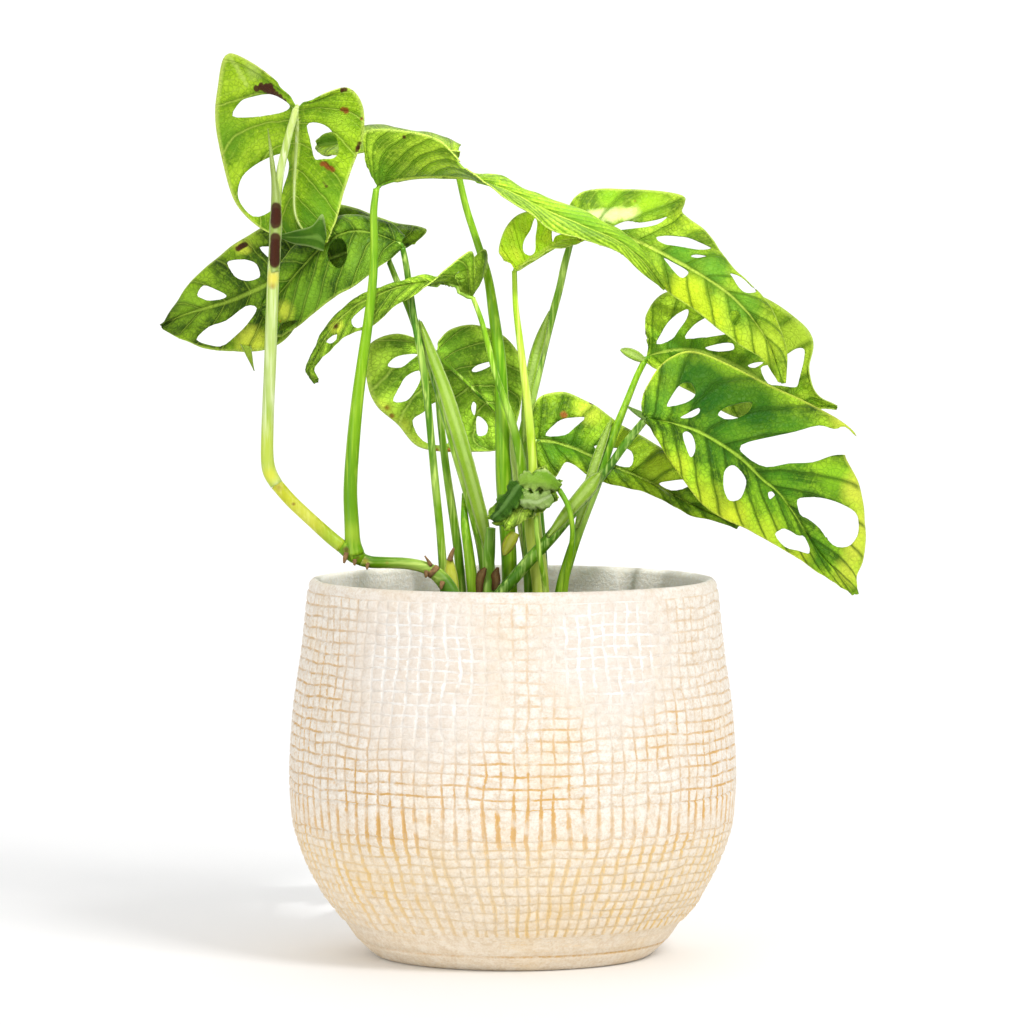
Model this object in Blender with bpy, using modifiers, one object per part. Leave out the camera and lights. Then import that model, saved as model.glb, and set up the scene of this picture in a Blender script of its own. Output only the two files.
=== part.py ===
"""A potted Swiss cheese vine, Monstera adansonii, in a cream stoneware pot with a net pattern.

Run with: blender --background --python part.py
Metres, +Z up. The origin is the middle of the pot's foot, and the plant is seen from -Y.
"""

import math

import bmesh
import bpy
import numpy as np
from mathutils import Vector

MM = 0.001

# Pot: a turned bowl, 155 mm across its belly, with a softly rounded rim.
POT_HEIGHT = 131 * MM
POT_WALL = 4 * MM
POT_FLOOR = 7 * MM
POT_PROFILE = [
    (46.5, 0.0),
    (49.0, 1.2),
    (54.0, 5.6),
    (58.8, 12.2),
    (65.1, 20.5),
    (70.3, 30.0),
    (74.1, 38.6),
    (76.4, 47.0),
    (77.3, 56.5),
    (77.3, 68.5),
    (75.9, 87.7),
    (73.4, 104.4),
    (71.5, 122.5),
    (70.7, 129.2),
]
RIM_TOP_RADIUS = 69.2 * MM
POT_STEPS = 48

# Potting mix: a low mound that ends 18 mm below the rim.
MIX_TOP = 113 * MM
MIX_MOUND = 2 * MM
FIT_GAP = 0.3 * MM

# The z of a stalk's first point where it stands on the potting mix.
FOOT = 113.6

# The plant was measured on the upright plane y = 0, as millimetres (x, z), from an eye at EYE.
# The third number of a point says how far it lies in front of that plane, on the same line of sight.
EYE = Vector((-0.25, -2020.0, 273.0))
BLADE_THICKNESS = 0.8 * MM

GREEN_BLADE = (0.10, 0.30, 0.02)
PALE_BLADE = (0.22, 0.46, 0.05)
YELLOW_BLADE = (0.42, 0.60, 0.03)
GREEN_STALK = (0.26, 0.50, 0.06)
YELLOW_STALK = (0.50, 0.62, 0.06)
DARK_STALK = (0.12, 0.34, 0.03)

# Each stalk is a route of (x, z, near, radius) in millimetres, from its foot to its tip.
STALKS = {
    "stem_runner": (GREEN_STALK, [
        (-17, FOOT, 10, 2.9), (-20.5, 124, 9, 2.9), (-24.5, 130.5, 8.5, 2.7), (-29.5, 134.3, 8, 2.2),
        (-36, 136.0, 8, 2.0), (-43, 136.4, 8.5, 2.0), (-49, 136.6, 9, 2.1), (-52.2, 137.4, 9.5, 2.3)]),
    "stem_end": (YELLOW_STALK, [
        (-59.9, 142.5, 10, 2.3), (-63.5, 145.4, 10, 2.3), (-70, 151.3, 11, 2.2),
        (-77, 157.9, 12, 2.2), (-81.8, 163.4, 12, 2.2)]),
    "stem_joint": (YELLOW_STALK, [
        (-53.0, 137.9, 9.5, 2.4), (-55.4, 139.2, 9.8, 2.8), (-59.2, 142.0, 10, 2.3)]),
    "petiole_top_left": (YELLOW_STALK, [
        (-82.4, 164.2, 12, 2.3), (-84.6, 168.5, 12, 2.4), (-85.3, 175, 13, 2.2), (-84.9, 190, 14, 2.1),
        (-84.2, 205, 15, 2.1), (-83.5, 225, 16, 2.1), (-82.6, 245, 17, 2.0), (-81.8, 261, 18, 1.6),
        (-80.5, 272, 19, 1.4), (-78, 283, 21, 1.3), (-75.9, 290.5, 22.5, 1.2), (-75.2, 293.4, 22.5, 1.1)]),
    "petiole_long_arch": (GREEN_STALK, [
        (-54.4, 143.4, 9.8, 1.8), (-55.7, 150, 10, 2.5), (-56.4, 162, 10, 2.4), (-55.4, 178, 11, 2.3),
        (-53.9, 193, 11.5, 2.1), (-51.9, 208, 12, 1.9), (-49.9, 222, 12.5, 1.7), (-48.4, 236, 13, 1.5),
        (-48, 248, 13, 1.4), (-48.2, 258, 13, 1.3), (-47.3, 265.7, 13, 1.1)]),
    "petiole_left_under": (GREEN_STALK, [
        (-23, FOOT, -4, 1.5), (-24.3, 135, -4, 1.5), (-25.3, 148, -3, 1.4), (-26.8, 163, -2, 1.4),
        (-28.2, 178, 0, 1.3), (-29.3, 190, 1, 1.3), (-30.5, 200, 2, 1.3), (-32, 210, 2, 1.3),
        (-34, 220, 1.6, 1.2), (-35.5, 230, 1.5, 1.2), (-37, 240, 2.8, 1.1), (-38.1, 245.5, 4.2, 1.0)]),
    "petiole_left_spotted": (GREEN_STALK, [
        (-7, FOOT, -3, 2.7), (-9.3, 138, -2, 2.8), (-11.5, 150, -1, 3.0), (-14.5, 162, 0, 3.1),
        (-18, 174, 1, 3.1), (-21.5, 187, 1, 3.0), (-25, 198, 0, 2.7), (-28.3, 207, -1, 2.2),
        (-32, 215, -2, 1.7), (-36, 225, -3, 1.3), (-40, 234, -5, 1.1), (-42.6, 240.4, -6, 1.0)]),
    "petiole_inner_left": (GREEN_STALK, [
        (-16, FOOT, -10, 1.6), (-17.8, 128, -10, 1.6), (-19.2, 142, -9, 1.6), (-21.2, 156, -9, 1.5),
        (-22.7, 166, -9, 1.4), (-24.1, 177, -9, 1.3), (-25.3, 188, -10, 1.2), (-26, 198, -11, 1.1),
        (-25.8, 206.6, -12, 1.0)]),
    "sheath_stub": (GREEN_STALK, [
        (-13, FOOT, 2.5, 2.0), (-14, 128, 2, 2.0), (-15.3, 140, 1.2, 1.8), (-16.6, 150, -1.5, 1.5),
        (-17, 160, -5.5, 0.7)]),
    "petiole_edge_on": (GREEN_STALK, [
        (-1, FOOT, -9, 2.6), (-1.2, 135, -9, 2.7), (-2, 150, -9, 2.8), (-3, 165, -9, 2.9),
        (-3.4, 180, -9, 2.7), (-3.8, 195, -9, 2.3), (-4.6, 208, -9, 2.1), (-6.5, 222, -10, 1.9),
        (-8.7, 236, -12, 1.5), (-12.4, 248, -14, 1.3), (-16.2, 260, -15, 1.2), (-19.4, 274.0, -16.9, 1.1)]),
    "petiole_small_curled": (GREEN_STALK, [
        (5.5, FOOT, -3, 1.5), (5.4, 135, -3, 1.6), (4.6, 152, -3, 1.7), (3.3, 168, -2, 1.8),
        (1.6, 178, -1, 1.6), (-0.8, 187, 0, 1.4), (-3.6, 195, 0, 1.2), (-6.4, 203.5, 0, 1.1),
        (-8.8, 213, 0, 1.0), (-11, 221, 0, 0.9), (-13.6, 228.0, 0.4, 0.8)]),
    "petiole_young_yellow": (YELLOW_STALK, [
        (10.5, FOOT, 4, 2.8), (9.5, 130, 4, 3.0), (8.2, 140, 4, 3.1), (7, 150, 4, 2.9),
        (7.2, 160, 4, 2.1), (7, 170, 4, 1.6), (6.1, 182, 4, 1.5), (4.8, 195, 4, 1.4),
        (3.5, 205, 4, 1.3), (2.3, 215, 4, 1.2), (1.0, 226, 4, 1.0), (0.6, 237.3, 4, 0.9)]),
    "petiole_upper_right": (DARK_STALK, [
        (6.5, FOOT, -11, 2.0), (5.6, 135, -11, 2.1), (4.4, 152, -11, 2.2), (3.4, 168, -11, 2.2),
        (3.8, 180, -10, 2.0), (6.2, 192, -9, 1.7), (8.4, 201, -8.5, 1.6), (11, 212, -8, 1.5),
        (14, 223.5, -7.5, 1.4), (16.3, 232, -7, 1.3), (18, 240, -6.5, 1.3), (20.0, 247.4, -6, 1.1)]),
    "petiole_low_right": (GREEN_STALK, [
        (11.5, FOOT, -7.5, 1.4), (10.8, 135, -7.5, 1.4), (9.8, 150, -7, 1.3), (8.6, 163, -6.5, 1.2),
        (8, 172, -5.5, 1.1), (7.7, 176.9, -4.8, 1.0)]),
    "petiole_right_pale": (GREEN_STALK, [
        (14.8, FOOT, 0, 2.0), (17, 128, 1, 2.0), (19.6, 137.5, 2, 1.9), (22.4, 146, 3, 1.8),
        (25.5, 155, 4, 2.0), (28.3, 162.5, 4.3, 2.1), (30.6, 169, 4, 2.0), (33.3, 176.5, 3, 1.7),
        (36.4, 184.5, 1, 1.4), (39.6, 192.5, -2, 1.2), (43, 201, -5, 1.1), (45.4, 205.9, -6, 1.1)]),
    "petiole_right_large": (DARK_STALK, [
        (-12, FOOT, 16, 2.0), (-4, 126, 15, 2.1), (0, 130.5, 14, 2.1), (6, 137.5, 13, 2.2),
        (13, 145, 13, 2.2), (20, 153.5, 13, 2.2), (26, 160.5, 13, 2.0), (30, 165.5, 13, 1.6),
        (34, 170.5, 14, 1.4), (38.3, 176.6, 15, 1.4), (42, 181.3, 16, 1.4), (45.3, 185.4, 16.8, 1.3)]),
    "petiole_crumpled": (GREEN_STALK, [
        (17, FOOT, 10, 1.0), (18.6, 130, 13, 1.0), (20.2, 140, 16, 1.0), (20.8, 147, 18, 0.9),
        (20.2, 152.5, 18.5, 0.9), (18.7, 157.4, 18, 0.9), (16.4, 161.4, 17, 0.9)]),
    "petiole_crumpled_side": (GREEN_STALK, [
        (12.5, FOOT, 14, 0.9), (11, 129, 18, 0.9), (9.7, 137, 19.5, 0.9), (8.6, 145, 19, 0.9),
        (8.1, 152.2, 18, 0.9)]),
    "young_shoot": (DARK_STALK, [
        (-8.4, FOOT, 8, 2.4), (-8.8, 127, 8, 2.6), (-8.6, 132, 8, 2.0), (-8.2, 140, 9, 2.1),
        (-7.6, 148, 10, 1.6)]),
    "stem_stub": (YELLOW_STALK, [
        (-20, FOOT, 1, 2.4), (-21, 126, 1, 2.5), (-21.5, 132, 1, 2.3), (-21.8, 137, 1, 1.2)]),
}

# Each blade is a list of stations from its base to its tip. A station is the midrib point and the two
# margin points beside it, as millimetres (x, z, near). Holes and notches are outlines of measured (x, z)
# points, on the side of the midrib that their sign names: -1 is the first margin's, +1 the second's.
BLADES = {
    "leaf_top_left": dict(colour=PALE_BLADE, camber=-2.5, stations=[
        ((-74.5, 294.8, 21), (-83, 306, 16), (-67, 297.8, 17)),
        ((-74.5, 291.3, 19), (-97, 312.3, 8), (-57, 300.9, 11)),
        ((-74.5, 287, 17), (-102.3, 300, 3), (-51.9, 294.8, 7)),
        ((-74.8, 281, 14), (-102.7, 288, 1), (-51.8, 284, 5)),
        ((-75.3, 273, 11), (-99.7, 272.5, 1), (-55.5, 273.8, 4)),
        ((-75.6, 265, 9), (-95.6, 260.5, 2), (-58.6, 265, 5)),
        ((-75.2, 257.5, 8), (-86.5, 252, 3), (-60.4, 256.8, 6)),
        ((-72, 251.5, 8), (-76, 248.3, 5), (-62.9, 250.8, 7)),
        ((-65.2, 247.0, 7), (-65.8, 246.5, 7), (-64.7, 247.4, 7)),
    ], holes=[
        (-1, [(-97, 291.4), (-94.5, 296.2), (-90.5, 297.9), (-83.5, 298.9), (-78, 296.3), (-77.2, 294),
              (-81, 292.3), (-90, 291)]),
        (-1, [(-79, 278.2), (-84, 277.2), (-89.5, 274.3), (-93.6, 270.5), (-95.2, 265.5), (-94.4, 261.3),
              (-90, 256.6), (-84.5, 258), (-80.6, 262), (-79.2, 267), (-77.2, 274)]),
        (1, [(-71.3, 288), (-68, 289.2), (-64, 287.6), (-61, 283.5), (-60.4, 279.3), (-62, 277),
             (-65.5, 276.5), (-68.3, 276.3), (-69.5, 280)]),
    ]),
    "leaf_long_arch": dict(colour=PALE_BLADE, camber=2.0, stations=[
        ((-46.8, 266.3, 13), (-51.2, 277.5, 17), (-48, 279, 8)),
        ((-43, 268, 12), (-51, 286, 20), (-45, 285, 6)),
        ((-34, 269.8, 11), (-38, 286.3, 24), (-36, 284.6, 4)),
        ((-24, 270.2, 11), (-26, 283.3, 28), (-25, 281.5, 4)),
        ((-14.5, 269.8, 11), (-14.5, 272.6, 28), (-15.5, 272.4, 2)),
        ((-5, 267.3, 11), (-4, 264.3, 26), (-6, 271.2, 1)),
        ((5, 262.5, 11), (5.5, 257.8, 25), (5, 266.2, 1)),
        ((15, 257.6, 11), (15, 251.4, 24), (16, 262, 1)),
        ((25.5, 253.2, 11), (25, 248.6, 22), (27, 257.7, 2)),
        ((36, 248.6, 10), (35.5, 245.2, 18), (37, 252, 3)),
        ((45, 241.5, 9), (43.5, 238.2, 12), (46.5, 244, 5)),
        ((53, 231, 8), (52.4, 231.2, 8.5), (53.4, 231.5, 7.5)),
    ], holes=[
        (-1, [(-19.5, 276.3), (-17, 276.9), (-15.4, 274.9), (-16.4, 273.6)]),
    ]),
    "leaf_left_spotted": dict(colour=GREEN_BLADE, camber=1.5, stations=[
        ((-43, 243.8, -7), (-34, 247.2, -10), (-44.2, 241.8, -7)),
        ((-46, 245.7, -8), (-30, 252.5, -14), (-48, 240, -8)),
        ((-52, 246, -8), (-43, 255.3, -17), (-54, 236.2, -8)),
        ((-60, 243.3, -6), (-57, 260.2, -18), (-62, 231, -8)),
        ((-70, 239.7, -4), (-70, 260.5, -16), (-72, 222, -7)),
        ((-79, 236.3, -2), (-80.5, 256.5, -13), (-80, 213.5, -5)),
        ((-88, 231.8, 0), (-90, 251, -9), (-89, 210, -3)),
        ((-97, 227.7, 2), (-99.5, 244.9, -4), (-98, 209.8, -2)),
        ((-106, 225, 3), (-109, 237, 0), (-107.5, 211, 0)),
        ((-115, 222.2, 4), (-116, 228, 3), (-115.5, 214.4, 2)),
        ((-122.2, 218.5, 4), (-121.9, 219.1, 4), (-122, 218, 4)),
    ], holes=[
        (-1, [(-99, 240.3), (-97, 241.6), (-92, 241.6), (-88.8, 240), (-87.6, 236.2), (-89.2, 234.9),
              (-92.5, 234.3), (-96.3, 235.6)]),
        (-1, [(-109.4, 229.5), (-107.2, 232.7), (-103, 231.4), (-99.3, 229.4), (-100.5, 228), (-105, 227.4),
              (-107.6, 228.2)]),
        (1, [(-109.8, 213.8), (-105.5, 218.5), (-99.5, 220.5), (-92.8, 225.5), (-88.8, 224.9), (-91.5, 220),
             (-95, 216), (-100, 211.9), (-104, 211.6)]),
        (-1, [(-87.8, 246), (-83, 246), (-81.5, 243), (-83.5, 241.5)]),
    ]),
    "leaf_left_under": dict(colour=PALE_BLADE, camber=2.0, stations=[
        ((-38.5, 247, 4.5), (-39.8, 244.2, 4.5), (-36.8, 250, 1)),
        ((-46, 250.3, 4.5), (-46.5, 239.3, 6), (-41, 253.4, -1)),
        ((-54, 252, 4), (-55, 232.8, 8), (-50, 256.3, -2)),
        ((-61, 250.3, 4), (-62, 228.5, 8), (-60, 256, -1)),
        ((-67.5, 245.3, 3), (-69, 223, 6), (-68, 250.6, 1)),
        ((-74, 238.3, 2), (-76, 217.6, 4), (-76, 245.6, 0)),
        ((-80, 231.3, 1.5), (-82.3, 215.2, 3), (-81.5, 237.6, 0)),
        ((-86.5, 224.5, 1), (-86.8, 223.8, 1), (-86.6, 225.3, 1)),
    ], holes=[
        (-1, [(-64, 244), (-62.8, 247.6), (-60, 249), (-57.8, 247), (-57.6, 242), (-60, 238.6), (-63, 240.6)]),
        (-1, [(-80.9, 217), (-80.2, 219.3), (-77.5, 220.5), (-74.6, 220.6), (-77, 218.6)]),
    ]),
    "leaf_edge_on": dict(colour=GREEN_BLADE, camber=1.5, stations=[
        ((-19.5, 274.6, -17), (-18.2, 279, -10), (-17.8, 281.5, -26)),
        ((-26, 280.3, -19), (-24, 278.7, -8), (-23, 283.8, -34)),
        ((-36, 283.2, -21), (-34, 280, -7), (-34, 286, -40)),
        ((-47, 284, -23), (-46, 280, -7), (-46, 288, -42)),
        ((-57, 282.5, -25), (-58, 278.2, -10), (-56, 287, -38)),
        ((-64, 281, -26), (-65.5, 277.8, -16), (-64.5, 285, -34)),
        ((-68, 281.0, -27), (-68.2, 280.2, -26), (-68.2, 281.9, -28)),
    ], holes=[]),
    "leaf_young_yellow": dict(colour=YELLOW_BLADE, camber=-1.5, stations=[
        ((0.8, 238.2, 4), (-2.2, 241, 3), (1.8, 239.2, 7)),
        ((3.5, 240, 4), (-5, 244.3, 1), (4.6, 240.2, 9)),
        ((7, 242, 4), (-2.6, 252.5, -1), (8.6, 242.2, 10)),
        ((11.5, 244.7, 3), (3, 257.7, -3), (13.5, 244.9, 10)),
        ((16, 247.2, 3), (12, 258.4, -3), (17.8, 245.6, 9)),
        ((20, 248.6, 3), (19.5, 255, -1), (21, 246.6, 6)),
        ((23.7, 248.4, 3), (23.9, 249.2, 2), (23.6, 247.8, 4)),
    ], holes=[
        (-1, [(7.6, 256), (8.6, 254), (8, 249), (7.8, 244.7), (6.2, 243), (4.2, 243.8), (3.6, 245.8),
              (4.2, 248.5), (6.2, 252)]),
        (-1, [(13.9, 247.7), (15, 249.6), (18.6, 251), (17.8, 254.5), (14.4, 255), (13.6, 251.5)]),
    ]),
    "leaf_upper_right": dict(colour=GREEN_BLADE, camber=1.0, stations=[
        ((20.5, 248.3, -6), (17.5, 256, -10), (22, 247, -5)),
        ((26, 251.0, -6), (23, 264.6, -13), (27, 248.8, -5)),
        ((34, 250.6, -5), (37, 265.6, -14), (34, 246.5, -4)),
        ((42, 248, -4), (56.5, 264.4, -9), (42, 241.5, -3)),
        ((51, 244, -3), (58.5, 257.6, -12), (48, 236, -2)),
        ((60, 239.2, -2), (67, 251.2, -10), (55, 229.8, -1)),
        ((68, 234.8, -1), (74.5, 241, -7), (63, 224.3, 0)),
        ((76, 229, 1), (84, 231.9, -3), (72, 217.3, 3)),
        ((83.5, 221, 2), (90.5, 222.5, 0), (80, 211.3, 4)),
        ((89.5, 211, 4), (95, 210.5, 3), (86.5, 207.4, 6)),
        ((93.6, 198.3, 6), (94.4, 198.8, 6), (93, 198.6, 6)),
    ], holes=[
        (-1, [(33.6, 252.3), (37, 254.2), (40, 254.9), (44, 254.2), (50, 255.4), (53.5, 256.5),
              (50, 253.8), (44, 252.6), (37, 251.9)]),
        (-1, [(49.5, 249.2), (53, 249.9), (58, 249.5), (62, 248.5), (68.6, 245.8), (66, 244.9),
              (60, 245.6), (53, 246.8)]),
        (-1, [(61.6, 242.7), (63.5, 243.4), (67, 242.6), (64, 242)]),
        (1, [(52.3, 242.3), (56, 240.6), (60, 238.2), (60.8, 236.8), (59, 235.2), (56.6, 236.6), (54, 239.6)]),
        (-1, [(75, 236.6), (79, 236), (83, 232.8), (84.6, 230.6), (80.8, 229.8), (78.2, 232)]),
        (1, [(75.4, 223.3), (77.8, 223.9), (79.2, 221.6), (77.4, 218.7), (76, 220.4)]),
    ]),
    "leaf_right_pale": dict(colour=YELLOW_BLADE, camber=-1.5, stations=[
        ((46.3, 207.6, -7), (46.6, 214, -10), (46, 206.2, -6)),
        ((51, 209.3, -8), (46, 222, -16), (51, 203, -8)),
        ((57, 210.2, -10), (52, 229.8, -20), (57, 198.5, -10)),
        ((64, 209.8, -11), (62, 231, -22), (64, 194.5, -11)),
        ((71.5, 207.3, -12), (74, 230, -22), (71, 190, -11)),
        ((79, 203.7, -12), (86, 229, -20), (79, 186.7, -10)),
        ((86, 199.3, -12), (97, 222.4, -16), (87, 186, -9)),
        ((93, 195.3, -11), (104, 214.5, -12), (95, 187.2, -8)),
        ((100, 192.5, -10), (102, 203.5, -10), (102, 189, -8)),
        ((106.5, 191, -10), (106, 194.5, -9), (107, 189.5, -9)),
        ((113, 190.5, -9), (112.8, 191.1, -9), (112.8, 190, -9)),
    ], holes=[
        (-1, [(49.8, 212), (51.5, 216), (54, 220), (58, 223.2), (60.8, 224.2), (60.2, 221), (57.3, 216.8),
              (55, 213.7)]),
        (-1, [(60, 214), (62, 218), (65.5, 220.6), (69.5, 222), (74, 219.5), (75, 216), (70, 215)]),
        (-1, [(66.6, 211), (71, 212.3), (76, 212.5), (76.4, 210.3), (71, 209.7)]),
        (-1, [(81.5, 204.8), (84, 205.9), (87, 206), (84, 204.1)]),
        (-1, [(86, 204), (90, 205.6), (95, 208.6), (99, 210.6), (102.6, 210.7), (102.2, 205), (100.6, 199),
              (98, 197.3), (93, 198), (88.6, 198.8)]),
    ]),
    "leaf_right_large": dict(colour=GREEN_BLADE, camber=2.0, stations=[
        ((46, 186.6, 17), (44.5, 190.5, 17), (46.6, 185.4, 18)),
        ((52, 185.7, 17), (46.5, 197, 13), (49.5, 180.5, 20)),
        ((58, 184, 18), (53, 206.5, 9), (54, 172.8, 22)),
        ((64, 182, 18), (64, 209.8, 6), (59.5, 165, 23)),
        ((70, 178.8, 18), (82, 201.8, 5), (65.5, 157, 23)),
        ((75.5, 175.3, 17.5), (100, 190.6, 5), (72.5, 152.2, 22)),
        ((80.5, 171.3, 17), (119, 180.5, 6), (80, 148.8, 20)),
        ((86, 165.8, 16), (115, 174, 7), (88, 144.5, 18)),
        ((92, 160.8, 15), (120.5, 163, 6), (95, 140.5, 16)),
        ((98, 152.8, 14), (122.5, 150, 6), (102, 136.3, 14)),
        ((103.5, 143.5, 13), (122, 139, 7), (108.5, 132, 13)),
        ((110.5, 135, 12), (119.5, 131.5, 9), (114, 128.2, 12)),
        ((119, 125.4, 10), (119.5, 126, 10), (118.6, 125.2, 10)),
    ], holes=[
        (-1, [(53.6, 190.6), (55, 194), (58, 198), (61.5, 198.9), (63.4, 196), (62.4, 193.2), (58, 191.3)]),
        (-1, [(58.2, 186.7), (60.5, 188.2), (64.4, 190), (64.6, 188.4), (62, 186.8)]),
        (-1, [(71.2, 187.6), (73.5, 190.2), (79, 191.9), (83, 192), (82, 189), (79, 186.8), (74.6, 186)]),
        (1, [(58.8, 180.6), (60.4, 182), (62.4, 180.3), (63.3, 176), (62, 173), (60.2, 176)]),
        (1, [(73, 165), (74, 169), (77, 170.2), (79.8, 167), (80.9, 163.8), (79.2, 159), (75.4, 158), (73.4, 161)]),
        (1, [(88.4, 160.4), (89.8, 161.1), (90.8, 159.8), (89, 158.4)]),
        (-1, [(98.8, 158.4), (103, 159.2), (109, 158.6), (116, 156), (120, 152.5), (119.6, 145.5),
              (116, 142), (111, 142.7), (106.5, 148.4), (102.6, 151.7), (100, 153.2)]),
        (1, [(91.2, 146.4), (94.5, 148.3), (98.6, 146), (101.2, 145.2), (103.2, 139.8), (99.5, 140.6), (94.6, 142)]),
    ], notches=[
        (-1, [(118.8, 180.2), (115.3, 183.4), (111.6, 182.7), (106, 184), (98, 181.8), (90, 180.1),
              (79.2, 177.3), (81.3, 173.2), (88, 169.7), (96, 171), (104, 171.4), (110.5, 173.8), (115, 174)]),
    ]),
    "leaf_low_right": dict(colour=YELLOW_BLADE, camber=1.5, stations=[
        ((7.8, 179, -4), (6.4, 187, -6), (9, 168, -1)),
        ((13, 178.6, -4), (9, 193.5, -8), (14.6, 166, 1)),
        ((20, 176.4, -4), (17, 195.4, -9), (19, 171.5, 1)),
        ((28, 172.8, -4), (28, 191.3, -10), (27, 166.3, 1)),
        ((36, 169.3, -4), (38, 184.3, -10), (35, 163.6, 1)),
        ((44, 166, -3), (48, 178.4, -8), (43, 162, 1)),
        ((52, 162, -1), (56, 172.8, -5), (51, 159.4, 2)),
        ((60, 157.6, 1), (64, 164.5, -2), (59, 154.8, 3)),
        ((69, 153.2, 3), (71.5, 156.5, 1), (68.5, 151.6, 4)),
        ((79, 149, 4), (79.2, 149.6, 4), (78.7, 148.5, 4)),
    ], holes=[
        (-1, [(11.4, 180.6), (14, 184), (18, 186.4), (24.8, 186.7), (21.5, 183.3), (18, 180.8)]),
        (-1, [(28.2, 176.8), (33, 176.5), (40, 175.8), (41.9, 173), (40.6, 169.7), (34.5, 171.2)]),
        (-1, [(50.8, 163.9), (55, 164.9), (60.2, 165), (60.6, 162.4), (55, 161.6)]),
    ]),
    "leaf_small_curled": dict(colour=GREEN_BLADE, camber=1.0, stations=[
        ((-14, 228.6, 0.5), (-12.8, 239, 7), (-8.6, 238, -6)),
        ((-17, 230.5, 1.5), (-14.5, 244.8, 10), (-10, 245.3, -4)),
        ((-22, 232.5, 3), (-21.5, 239.2, 12), (-19, 236.8, 0)),
        ((-27, 233.5, 5), (-28.5, 233.6, 11), (-26, 235.4, 3)),
        ((-33, 233.8, 6), (-34.5, 229, 9), (-33, 235.3, 4.5)),
        ((-40, 232.5, 6), (-41, 225.5, 8.5), (-40, 234, 4.5)),
        ((-47, 230, 5.5), (-48.5, 218.8, 7.5), (-47, 231.4, 4)),
        ((-53.5, 226.8, 4.5), (-55, 216.5, 6.5), (-54.3, 228, 2.5)),
        ((-60, 221.5, 3.5), (-59.5, 214, 5.5), (-61.3, 222.4, 0)),
        ((-65, 214.5, 2.5), (-63, 210.5, 4.5), (-66.3, 215, -1)),
        ((-69, 207, 2), (-67, 207, 3.5), (-69.9, 207, -1)),
        ((-70.6, 202.8, 1.5), (-69.4, 203, 2), (-71.4, 202.8, 0)),
        ((-67.8, 199.2, 1), (-67.4, 199.7, 1.5), (-68.2, 198.8, 0.5)),
    ], holes=[
        (-1, [(-20.2, 235), (-18.8, 237.6), (-15.6, 238), (-16.6, 234.8), (-19, 234.2)]),
        (-1, [(-56, 220.8), (-52, 224.6), (-49, 226), (-49.4, 220.5), (-54, 218)]),
        (-1, [(-64.6, 213.6), (-61, 215.8), (-61.2, 214), (-63.2, 212.6)]),
    ]),
    "leaf_inner_left": dict(colour=GREEN_BLADE, camber=-2.0, stations=[
        ((-25.6, 208.2, -13), (-29.5, 211.8, -15), (-25.8, 213, -15)),
        ((-23.5, 206, -14), (-40, 216, -19), (-21, 217.6, -19)),
        ((-21, 203.8, -15), (-50.3, 211.5, -22), (-13, 219, -22)),
        ((-18, 201, -16), (-50.6, 199.5, -24), (-4, 215.8, -24)),
        ((-14.5, 197.5, -17), (-47.3, 191, -24), (1.5, 210, -25)),
        ((-11, 194, -18), (-40, 184.5, -24), (4, 203, -25)),
        ((-7.5, 190.7, -19), (-33, 177, -23), (3.5, 196.5, -24)),
        ((-4.5, 187, -19), (-22, 175, -22), (2.3, 190.5, -23)),
        ((-2.5, 182.5, -19), (-11, 175.3, -21), (1.2, 185, -21)),
        ((-1, 177.2, -19), (-1.8, 176.8, -19), (-0.4, 177.5, -19)),
    ], holes=[
        (-1, [(-43.4, 204.6), (-41.5, 207.3), (-38, 208.6), (-33, 208.8), (-35.5, 206.6), (-39, 204.1)]),
        (-1, [(-41.5, 192.6), (-39.6, 197), (-37.2, 201), (-32.6, 203.2), (-32, 200.3), (-34, 196), (-37, 192.6)]),
        (-1, [(-34.8, 185.8), (-31, 188.7), (-26.5, 192.4), (-21.8, 189.5), (-21.4, 183), (-22.6, 178),
              (-28, 177.6), (-32.4, 180)]),
        (1, [(-14, 203.4), (-12, 205.2), (-7, 206.4), (-7.6, 204.8), (-12.4, 202.8)]),
        (-1, [(-14.5, 190), (-13.8, 192.3), (-12.7, 191.2), (-13.4, 187.4)]),
        (-1, [(-12.4, 187.2), (-10.2, 186.2), (-8.7, 183.8), (-9.4, 181), (-12.2, 180.6), (-12.8, 184)]),
    ]),
    "leaf_crumpled": dict(colour=GREEN_BLADE, camber=1.0, stations=[
        ((15.8, 162.6, 17), (17.4, 165, 14), (15.2, 160, 20)),
        ((11.5, 163.5, 15), (12.8, 168, 10), (12.8, 156, 19)),
        ((7, 161.5, 17), (7, 168.4, 11), (9, 153.2, 18)),
        ((2.5, 159.5, 16), (1.8, 165.4, 10), (4, 151, 20)),
        ((-2.5, 155.8, 17), (-3.5, 160.6, 11), (-1.4, 147.6, 19)),
        ((-7.2, 150.8, 16), (-8.2, 152, 14), (-6.4, 149.4, 17)),
    ], holes=[]),
}


def clear_scene():
    for obj in list(bpy.data.objects):
        bpy.data.objects.remove(obj, do_unlink=True)


def make_material(name, colour, roughness):
    material = bpy.data.materials.new(name)
    material.use_nodes = True
    shader = material.node_tree.nodes["Principled BSDF"]
    shader.inputs["Base Color"].default_value = (*colour, 1.0)
    shader.inputs["Roughness"].default_value = roughness
    shader.inputs["Metallic"].default_value = 0.0
    return material


def add_object(name, data, material, collection):
    data.materials.clear()
    data.materials.append(material)
    obj = bpy.data.objects.new(name, data)
    collection.objects.link(obj)
    return obj


def in_space(x, z, near):
    """The place of a measured point, slid from the plane y = 0 towards the eye by near."""
    slide = near / -EYE.y
    return Vector((x + (EYE.x - x) * slide, -near, z + (EYE.z - z) * slide)) * MM


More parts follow.
